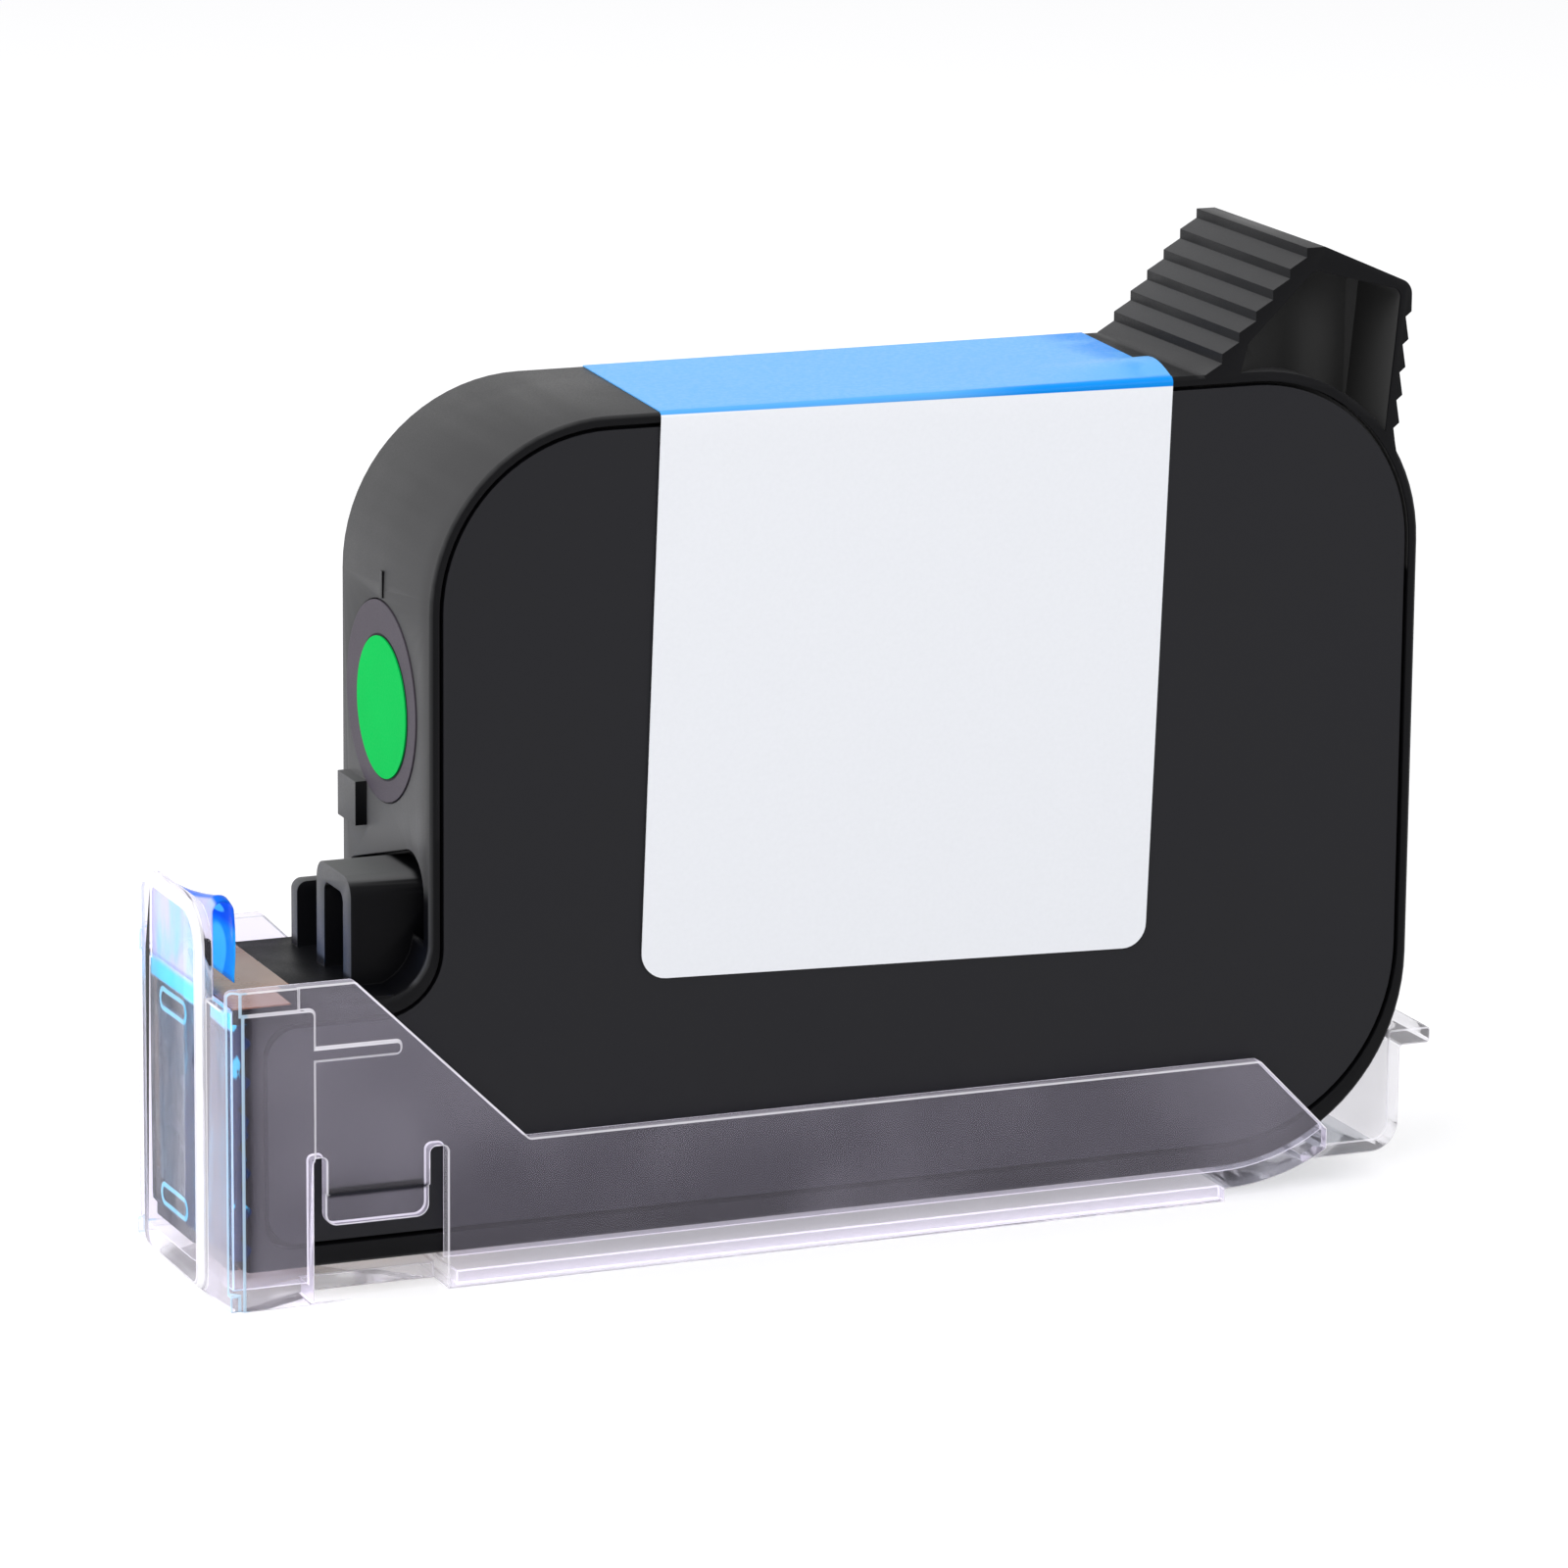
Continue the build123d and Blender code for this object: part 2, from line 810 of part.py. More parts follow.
def make_clip_wall():
    """Near side wall with its pad, snap tongue and rib."""
    plain = outline(
        (head_side_x, 0, wall_corner),
        (head_side_x, wall_top, wall_corner),
        (wall_peak_x, wall_top, wall_corner),
        (wall_peak_x + brow_run, long_edge_z, wall_corner),
        (heel_x + long_edge_reach, long_edge_z, wall_corner),
        (wall_end_x, wall_end_z, 0.0),
        (wall_end_x, 0, 0.0),
    )
    pad = outline(
        (head_side_x, 0, wall_corner),
        (head_side_x, pad_top, 0.0),
        (pad_end_x, pad_top, pad_corner),
        (pad_end_x, 0, wall_corner),
    )
    post = outline(
        (head_side_x, pad_top, 0.0),
        (head_side_x, wall_top, wall_corner),
        (post_end_x, wall_top, 0.0),
        (post_end_x, pad_top, 0.0),
    )
    shoulder = block(
        (head_side_x, head_back_x),
        (-wall_outer, tray_near_y + tray_near_corner),
        (front_floor, pad_top),
    )
    rib_x = pad_end_x - rib_corner
    rib_z = deck_z - rib_drop
    rib = outline(
        (rib_x, rib_z, rib_corner),
        (rib_x, rib_z + rib_height, rib_corner),
        (rib_x + rib_length, rib_z + rib_height, rib_corner),
        (rib_x + rib_length, rib_z, rib_corner),
    )
    lip = block(
        (gate_left_x + left_slot, gate_right_x - right_slot),
        (-wall_outer, lip_depth - wall_outer),
        (tongue_foot, tongue_foot + lip_height),
    )
    wall = slab(plain, -wall_outer, -wall_inner) - make_heel_trim()
    wall += slab(pad, -pad_outer, -wall_outer) + slab(rib, -pad_outer, -wall_outer) + shoulder
    wall += slab(post, -post_outer, -wall_outer)
    wall -= slab(gate_outline(), -pad_outer, -wall_inner)
    return wall - lip - make_shoulder_corner()


def make_clip_floor():
    """Floor of the clip, narrow at the gates, with a rail along each side."""
    floor_foot = floor_top - floor_thickness
    step_end = gate_right_x + floor_thickness
    front = block(
        (head_side_x, step_end),
        (front_floor_inset - wall_outer, wall_outer - front_floor_inset),
        (0, front_floor),
    )
    corner = block((head_side_x, gate_left_x), (-wall_outer, wall_outer), (0, front_floor))
    floor = block((gate_right_x, heel_x), (-wall_inner, wall_inner), (floor_foot, floor_top))
    step = block((gate_right_x, step_end), (-wall_outer, wall_outer), (0, floor_top))
    rail_end_x = heel_x - rail_setback
    rail = outline(
        (gate_right_x, 0, 0.0),
        (gate_right_x, floor_top, 0.0),
        (rail_end_x, floor_top, 0.0),
        (rail_end_x, 0, rail_corner),
    )
    rails = both_sides(slab(rail, -wall_outer, rail_width - wall_outer))
    return front + corner + floor + step + rails


def make_heel_strap():
    """Strap that carries the floor on round the heel."""
    angle = math.radians(strap_end_angle)
    reach = strap_outer * 2
    sector = make_face(
        Polyline(
            (0, 0),
            (0, -reach),
            (reach, -reach),
            (reach * math.cos(angle), -reach * math.sin(angle)),
            close=True,
        )
    )
    band = (Circle(strap_outer) - Circle(strap_inner)) & sector
    return slab(Pos(heel_x, heel_z) * band, -wall_inner, wall_inner)


def make_clip_hook():
    """Thumb hook behind the heel: foot, upright and tab in one bent strip."""
    start_x = heel_x + hook_start
    strip = outline(
        (start_x, hook_foot_z, 0.0),
        (hook_outer_x, hook_foot_z, hook_corner),
        (hook_outer_x, hook_top - tab_thickness, hook_edge),
        (hook_outer_x + tab_reach, hook_top - tab_thickness, hook_edge),
        (hook_outer_x + tab_reach, hook_top, hook_edge),
        (hook_inner_x, hook_top, hook_edge),
        (hook_inner_x, hook_foot_z + hook_wall, hook_corner - hook_wall),
        (start_x, hook_foot_z + hook_wall, 0.0),
    )
    return slab(strip, hook_margin - half, half - hook_margin)


def make_clip():
    """Clear clip in one piece: head tray, two walls, floor, heel strap and hook."""
    clip = make_clip_floor() + both_sides(make_clip_wall())
    return clip + make_heel_strap() + make_clip_head() + make_clip_hook()


def write(node, solid):
    """Write one node's solids under its own name."""
    export_step(solid, f"parts/{node}.step")


os.makedirs("parts", exist_ok=True)
cover = make_cover()
film = make_film()
plate = make_pressure_plate()
screen = make_screen()
write("outer_frame", make_outer_frame())
write("inner_frame", make_inner_frame())
write("near_cover", cover)
write("far_cover", far(cover))
write("near_film", film)
write("far_film", far(film))
write("near_plate", plate)
write("far_plate", far(plate))
write("bow_spring", make_bow_spring())
write("near_screen", screen)
write("far_screen", far(screen))
write("level_window", make_level_window())
write("level_dot", make_level_dot())
write("fill_ball", make_fill_ball())
write("printhead_chip", make_die())
write("nozzle_plate", make_nozzle_plate())
write("encapsulant_beads", make_beads())
write("flex_circuit", make_flex())
write("contact_pads", make_contact_pads())
write("wrap_label", make_label())
write("nozzle_tape", make_tape())
write("protective_clip", make_clip())
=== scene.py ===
"""Looks of a half-inch thermal inkjet print cartridge in its clear shipping clip."""

import logging
import math
from dataclasses import dataclass, field
from enum import Enum, IntEnum
from typing import Sequence

import bmesh
import bpy
from mathutils import Matrix, Vector


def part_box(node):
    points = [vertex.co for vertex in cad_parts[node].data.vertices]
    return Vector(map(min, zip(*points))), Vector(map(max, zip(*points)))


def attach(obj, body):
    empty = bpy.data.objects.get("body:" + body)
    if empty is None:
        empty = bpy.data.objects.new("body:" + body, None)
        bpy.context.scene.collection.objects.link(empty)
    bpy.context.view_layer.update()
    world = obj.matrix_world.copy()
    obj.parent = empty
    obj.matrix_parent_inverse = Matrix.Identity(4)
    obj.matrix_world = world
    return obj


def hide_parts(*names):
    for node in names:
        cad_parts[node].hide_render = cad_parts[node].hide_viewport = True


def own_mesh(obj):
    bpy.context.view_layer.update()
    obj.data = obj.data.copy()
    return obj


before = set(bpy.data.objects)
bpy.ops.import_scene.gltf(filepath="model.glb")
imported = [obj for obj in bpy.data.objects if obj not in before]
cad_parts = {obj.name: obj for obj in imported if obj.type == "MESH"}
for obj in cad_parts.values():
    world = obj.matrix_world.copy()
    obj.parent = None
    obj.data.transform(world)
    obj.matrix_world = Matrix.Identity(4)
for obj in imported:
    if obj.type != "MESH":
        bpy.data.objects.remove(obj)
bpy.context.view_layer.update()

MM = 0.001
WHITE = (1.0, 1.0, 1.0, 1.0)

logging.basicConfig(level=logging.INFO, format="%(message)s")
log = logging.getLogger("cartridge")

Colour = tuple[float, float, float, float]
Span = tuple[float, float]
Socket = bpy.types.NodeSocket
Material = bpy.types.Material
Piece = bpy.types.Object
Rows = list[list[Vector]]


class Body(str, Enum):
    """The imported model's bodies that carry new pieces."""

    CARTRIDGE = "cartridge"
    CLIP = "clip"


def tone(red: int, green: int, blue: int) -> Colour:
    """Turns a display colour into the linear colour that shaders take.

    Args:
        red: Red, 0 to 255.
        green: Green, 0 to 255.
        blue: Blue, 0 to 255.

    Returns:
        Linear red, green and blue, with full alpha.
    """

    def linear(value: int) -> float:
        """Undoes the display curve for one channel."""
        share = value / 255
        return share / 12.92 if share <= 0.04045 else ((share + 0.055) / 1.055) ** 2.4

    return (linear(red), linear(green), linear(blue), 1.0)


def shade(colour: Colour, factor: float) -> Colour:
    """Returns the colour made lighter or darker by a factor."""
    return (colour[0] * factor, colour[1] * factor, colour[2] * factor, 1.0)


class NodeMaker:
    """Short calls that add nodes to a tree of any kind."""

    def __init__(self, tree: bpy.types.NodeTree) -> None:
        """Keeps the tree that the nodes go to."""
        self.tree = tree

    def add(self, kind: str, sockets: dict | None = None, **settings: object) -> bpy.types.Node:
        """Adds a node.

        Args:
            kind: Blender's name of the node type.
            sockets: Values or links for its inputs, by name or number.
            **settings: Properties of the node itself.

        Returns:
            The new node.
        """
        node = self.tree.nodes.new(kind)
        for key, value in settings.items():
            setattr(node, key, value)
        for key, value in (sockets or {}).items():
            if isinstance(value, Socket):
                self.tree.links.new(value, node.inputs[key])
            else:
                node.inputs[key].default_value = value
        return node

    def out(self, kind: str, sockets: dict | None = None, **settings: object) -> Socket:
        """Adds a node and returns its first output."""
        return self.add(kind, sockets, **settings).outputs[0]

    def math(self, operation: str, *values: object) -> Socket:
        """One Math node over the values."""
        return self.out("ShaderNodeMath", dict(enumerate(values)), operation=operation)

    def seen(self) -> Socket:
        """Share that is 1 for rays of sight, mirrored or refracted ones included."""
        path = self.add("ShaderNodeLightPath").outputs
        share = path["Is Camera Ray"]
        for name in ("Is Glossy Ray", "Is Transmission Ray"):
            share = self.math("MAXIMUM", share, path[name])
        return share


class Graph(NodeMaker):
    """Node tree of one material, with short calls for what the finishes share."""

    def __init__(self, name: str) -> None:
        """Starts an empty material of that name."""
        self.material = bpy.data.materials.new(name)
        self.material.use_nodes = True
        super().__init__(self.material.node_tree)
        self.tree.nodes.clear()
        coordinates = self.add("ShaderNodeTexCoord").outputs
        self.place = coordinates["Object"]
        self.normal = coordinates["Normal"]

    def noise(
        self, size: float, detail: float = 2.0, stretch: Sequence[float] = (1, 1, 1)
    ) -> Socket:
        """Noise over the piece's own coordinates.

        Args:
            size: Size of one blotch in millimetres.
            detail: Octaves of finer noise.
            stretch: Factors on the coordinates, to draw the blotches out.

        Returns:
            The noise value, 0 to 1.
        """
        drawn = {"Vector": self.place, "Scale": tuple(stretch)}
        place = self.out("ShaderNodeMapping", drawn)
        sockets = {"Vector": place, "Scale": 1 / (size * MM), "Detail": detail}
        return self.out("ShaderNodeTexNoise", sockets)

    def ramp(
        self, value: object, low: float, high: float, start: float = 0.0, end: float = 1.0
    ) -> Socket:
        """Maps low to start and high to end, smoothly and no further."""
        sockets = {0: value, 1: low, 2: high, 3: start, 4: end}
        return self.out("ShaderNodeMapRange", sockets, interpolation_type="SMOOTHSTEP")

    def spread(self, noise: Socket, start: float, end: float) -> Socket:
        """Draws a noise out, so that its usual reach goes from start to end."""
        return self.ramp(noise, 0.3, 0.7, start, end)

    def blend(self, share: object, first: object, second: object) -> Socket:
        """Mixes two colours by a share from 0 to 1."""
        sockets = {0: share, 6: first, 7: second}
        return self.add("ShaderNodeMix", sockets, data_type="RGBA").outputs[2]

    def drift(self, share: Socket, colour: Colour, darker: float, lighter: float) -> Socket:
        """Lets one colour drift between two factors on it."""
        return self.blend(share, shade(colour, darker), shade(colour, lighter))

    def relief(
        self, height: Socket, depth: float, strength: float = 1.0, under: Socket | None = None
    ) -> Socket:
        """Turns a height into a normal.

        Args:
            height: The height, 0 to 1.
            depth: What a height of 1 stands for, in millimetres.
            strength: Share of the effect.
            under: A normal to start from.

        Returns:
            The bumped normal.
        """
        sockets = {"Height": height, "Distance": depth * MM, "Strength": strength}
        if under is not None:
            sockets["Normal"] = under
        return self.out("ShaderNodeBump", sockets)

    def soft_edges(self, radius: float) -> Socket:
        """Normal that rounds off sharp edges by the radius in millimetres."""
        return self.out("ShaderNodeBevel", {"Radius": radius * MM}, samples=6)

    def axis(self, name: str) -> Socket:
        """One coordinate of the place on the piece, in metres."""
        return self.add("ShaderNodeSeparateXYZ", {0: self.place}).outputs[name]

    def facing(self, name: str) -> Socket:
        """One part of the surface's own normal, -1 to 1."""
        return self.add("ShaderNodeSeparateXYZ", {0: self.normal}).outputs[name]

    def along(
        self, name: str, low: float, high: float, start: float = 0.0, end: float = 1.0
    ) -> Socket:
        """Ramp along one axis, between two places in millimetres."""
        return self.ramp(self.axis(name), low * MM, high * MM, start, end)

    def within(self, name: str, low: float, high: float, soft: float = 0.3) -> Socket:
        """Mask of what lies between two places on one axis, all in millimetres."""
        above = self.along(name, low - soft, low + soft)
        below = self.along(name, high - soft, high + soft, 1.0, 0.0)
        return self.math("MULTIPLY", above, below)

    def squares(self, middle: Sequence[float], half: Sequence[float] = (1.0, 1.0)) -> Socket:
        """Sum of the squared distances in y and z from a middle, over the half sizes."""
        parts = []
        for name, place_at, reach in zip("YZ", middle, half):
            off = self.math("SUBTRACT", self.axis(name), place_at * MM)
            parts.append(self.math("POWER", self.math("DIVIDE", off, reach * MM), 2.0))
        return self.math("ADD", *parts)

    def every(self, *masks: object) -> object:
        """Where all the masks hold."""
        both = masks[0]
        for mask in masks[1:]:
            both = self.math("MULTIPLY", both, mask)
        return both

    def surface(self, **sockets: object) -> Socket:
        """Principled shader; spaces in socket names are written as underscores."""
        named = {key.replace("_", " "): value for key, value in sockets.items()}
        return self.out("ShaderNodeBsdfPrincipled", named)

    def lets_lamps_through(self, shader: Socket, tint: Colour) -> Socket:
        """Keeps what stands behind a clear wall lit by the lamps.

        Args:
            shader: The clear shader.
            tint: Colour of the light that comes through.

        Returns:
            The mixed shader.
        """
        path = self.add("ShaderNodeLightPath").outputs["Is Shadow Ray"]
        through = self.out("ShaderNodeBsdfTransparent", {"Color": tint})
        return self.out("ShaderNodeMixShader", {0: path, 1: shader, 2: through})

    def finished(self, shader: Socket) -> Material:
        """Closes the tree with its surface shader and returns the material."""
        self.add("ShaderNodeOutputMaterial", {"Surface": shader})
        return self.material


@dataclass(frozen=True)
class Finish:
    """A finish of the object; each kind builds its own shader."""

    name: str

    def make(self) -> Material:
        """Builds the material."""
        g = Graph(self.name)
        return g.finished(self.shader(g))

    def shader(self, g: Graph) -> Socket:
        """Builds the shader in the finish's graph."""
        raise NotImplementedError


@dataclass(frozen=True)
class MouldedPlastic(Finish):
    """Injection-moulded plastic with a fine spark-eroded grain.

    Sizes are in millimetres.
    """

    colour: Colour
    roughness: float = 0.45
    specular: float = 0.3
    grain: float = 0.11
    relief: float = 0.0015
    blotch: float = 9.0
    sink: float = 0.02
    edge: float = 0.12
    dust: float = 0.0
    dust_colour: Colour = tone(150, 148, 146)
    speck_gap: float = 7.0
    speck_reach: Span = (0.008, 0.016)
    speck_share: float = 0.28

    def shader(self, g: Graph) -> Socket:
        """Builds the shader."""
        cloud = g.noise(self.blotch, 4)
        grain = g.noise(self.grain, 3)
        colour = self.zoned(g, g.drift(cloud, self.colour, 0.8, 1.25), cloud)
        if self.dust:
            colour = g.blend(self.specks(g), colour, self.dust_colour)
        fine = g.spread(grain, self.roughness - 0.04, self.roughness + 0.05)
        normal = g.relief(grain, self.relief, 0.6, g.soft_edges(self.edge))
        normal = g.relief(g.noise(self.blotch * 0.6, 1), self.sink, 0.5, normal)
        return g.surface(
            Base_Color=colour,
            Roughness=g.math("ADD", g.spread(cloud, -0.05, 0.05), fine),
            Specular_IOR_Level=self.specular,
            Normal=normal,
        )

    def zoned(self, g: Graph, colour: Socket, cloud: Socket) -> Socket:
        """Colour after the zones that differ; here there are none."""
        return colour

    def specks(self, g: Graph) -> Socket:
        """Mask of a few specks of dust."""
        sockets = {"Vector": g.place, "Scale": 1 / (self.speck_gap * MM)}
        cells = g.add("ShaderNodeTexVoronoi", sockets).outputs
        near = g.ramp(cells["Distance"], *self.speck_reach, 1.0, 0.0)
        red = g.out("ShaderNodeSeparateColor", {0: cells["Color"]})
        few = g.math("GREATER_THAN", red, 1 - self.speck_share)
        return g.every(near, few, self.dust)


@dataclass(frozen=True)
class FramePlastic(MouldedPlastic):
    """Ring plastic with painted light on rim, treads and pockets, and painted shade in its
    hollows.

    Places are in millimetres.
    """

    # Colours of painted light and shade: lighter rim faces and treads, a factor that lightens the
    # lower end face further, near black for the niche and hood, lighter colours for the handle's
    # pockets.
    lit_matt: Colour = tone(56, 56, 57)
    painted_hollow_shade: Colour = tone(4, 4, 6)
    pocket_painted_dim: Colour = tone(38, 38, 38)
    pocket_painted_bright: Colour = tone(92, 92, 92)
    pocket_wall_painted_lit: Colour = tone(66, 66, 66)
    end_light: float = 2.1
    deck_z: float = 23.6
    lit_end_x: Span = (14.0, 36.0)
    niche_x: Span = (0.4, 2.2)
    niche_z: Span = (20.0, 35.0)
    handle_x: float = 63.0
    pocket_z: Span = (50.0, 80.0)
    pocket_y: float = 9.75
    pocket_x: Span = (71.5, 80.5)
    wall_x: Span = (76.0, 76.5)
    hood_x: Span = (-4.9, 0.6)
    hood_y: Span = (-9.5, -5.5)
    hood_z: Span = (22.4, 30.6)
    low_z: Span = (28.0, 66.0)
    near_y: Span = (-9.2, -7.2)

    def zoned(self, g: Graph, colour: Socket, cloud: Socket) -> Socket:
        """Colour with painted light on rim and pockets, and painted shade in the niche and by the
        hood.

        Args:
            g: The material's graph.
            colour: Plain colour.
            cloud: Slow noise that breaks up the parts with painted light.

        Returns:
            The zoned colour.
        """
        side = g.ramp(g.math("ABSOLUTE", g.facing("Y")), 0.55, 0.85)
        rim = g.math("SUBTRACT", 1.0, side)
        above = g.along("Z", self.deck_z, self.deck_z + 0.5)
        front = g.along("X", *self.lit_end_x, 1.0, 0.0)
        grip = g.along("X", self.handle_x, self.handle_x + 0.6)
        treads = g.every(grip, g.ramp(g.facing("Z"), 0.3, 0.7))
        # Painted light: rim faces above the deck near the front end, and treads facing up, take a
        # lighter colour; the lower end face is lighter still.
        lit_matt = g.every(rim, above, g.math("MAXIMUM", front, treads))
        low = g.every(g.along("Z", *self.low_z, 1.0, 0.0), front, g.along("Y", *self.near_y))
        painted_lit_tone = g.blend(low, g.drift(cloud, self.lit_matt, 0.75, 1.3), shade(self.lit_matt, self.end_light))
        colour = g.blend(lit_matt, colour, painted_lit_tone)
        # Painted shade: the niche and the end face by the hood's near side are darkened to near
        # black.
        niche = g.every(g.within("X", *self.niche_x), g.within("Z", *self.niche_z))
        hood = g.every(
            g.within("X", *self.hood_x),
            g.within("Y", *self.hood_y, soft=0.2),
            g.within("Z", *self.hood_z, soft=0.8),
        )
        colour = g.blend(g.math("MAXIMUM", niche, hood), colour, self.painted_hollow_shade)
        # Painted light: the sides of the handle's pockets are lightened, more towards the back,
        # and so is the wall that faces the front end.
        away = g.math("ABSOLUTE", g.axis("Y"))
        deep = g.ramp(away, self.pocket_y * MM, (self.pocket_y + 0.1) * MM, 1.0, 0.0)
        inside = g.every(grip, g.within("Z", *self.pocket_z), deep)
        pocket_painted_light = g.blend(g.along("X", *self.pocket_x), self.pocket_painted_dim, self.pocket_painted_bright)
        colour = g.blend(g.every(inside, side), colour, pocket_painted_light)
        turned = g.ramp(g.facing("X"), -0.6, -0.4, 1.0, 0.0)
        wall = g.every(inside, g.along("X", *self.wall_x), turned)
        return g.blend(wall, colour, self.pocket_wall_painted_lit)


@dataclass(frozen=True)
class ClearPlastic(Finish):
    """Clear polystyrene: a glassy skin over a slightly milky, tinted body."""

    name: str = "clear_styrene"
    tint: Colour = (0.925, 0.885, 1.0, 1.0)
    clear: float = 0.948
    bend: float = 1.03
    roughness: float = 0.0
    gloss: float = 0.12
    wave: float = 9.0
    wave_depth: float = 0.015
    painted_film_reflection: Colour = (0.5, 0.75, 0.97, 1.0)
    film_reflection_share: float = 0.0
    film_x: float = -15.3
    film_y: float = 9.0
    lip_painted_shadow: Colour = (0.02, 0.02, 0.03, 1.0)
    lip_x: Span = (-8.7, -0.7)
    lip_z: Span = (8.15, 8.65)
    lap_x: Span = (-15.4, -14.4)
    lap_clear: float = 0.045
    lamp_tint: Colour = (0.9, 0.89, 0.92, 1.0)

    def colour(self, g: Graph) -> Socket:
        """Tint of the plastic, with a painted reflection of the blue film and a painted shadow
        along the tongue's lip.
        """
        away = g.math("ABSOLUTE", g.axis("Y"))
        # Painted reflection: faces beside the blue film are tinted blue.
        near_film = g.every(
            self.film_reflection_share,
            g.along("X", self.film_x, self.film_x + 0.3, 1.0, 0.0),
            g.ramp(away, self.film_y * MM, (self.film_y + 0.5) * MM),
        )
        # Painted shadow: a dark band along the tongue's lip.
        lip = g.every(
            g.within("X", *self.lip_x, soft=0.2), g.within("Z", *self.lip_z, soft=0.15)
        )
        return g.blend(lip, g.blend(near_film, self.tint, self.painted_film_reflection), self.lip_painted_shadow)

    def shader(self, g: Graph) -> Socket:
        """Builds the shader."""
        haze = g.spread(g.noise(self.wave * 2, 2), -0.02, 0.02)
        lap = g.math("MULTIPLY", g.within("X", *self.lap_x), self.lap_clear)
        shader = g.surface(
            Base_Color=self.colour(g),
            Roughness=self.roughness,
            IOR=self.bend,
            Transmission_Weight=g.math("ADD", lap, g.math("ADD", haze, self.clear)),
            Coat_Weight=self.gloss,
            Coat_Roughness=0.02,
            Normal=g.relief(g.noise(self.wave, 1), self.wave_depth, 0.6),
        )
        return g.lets_lamps_through(shader, self.lamp_tint)


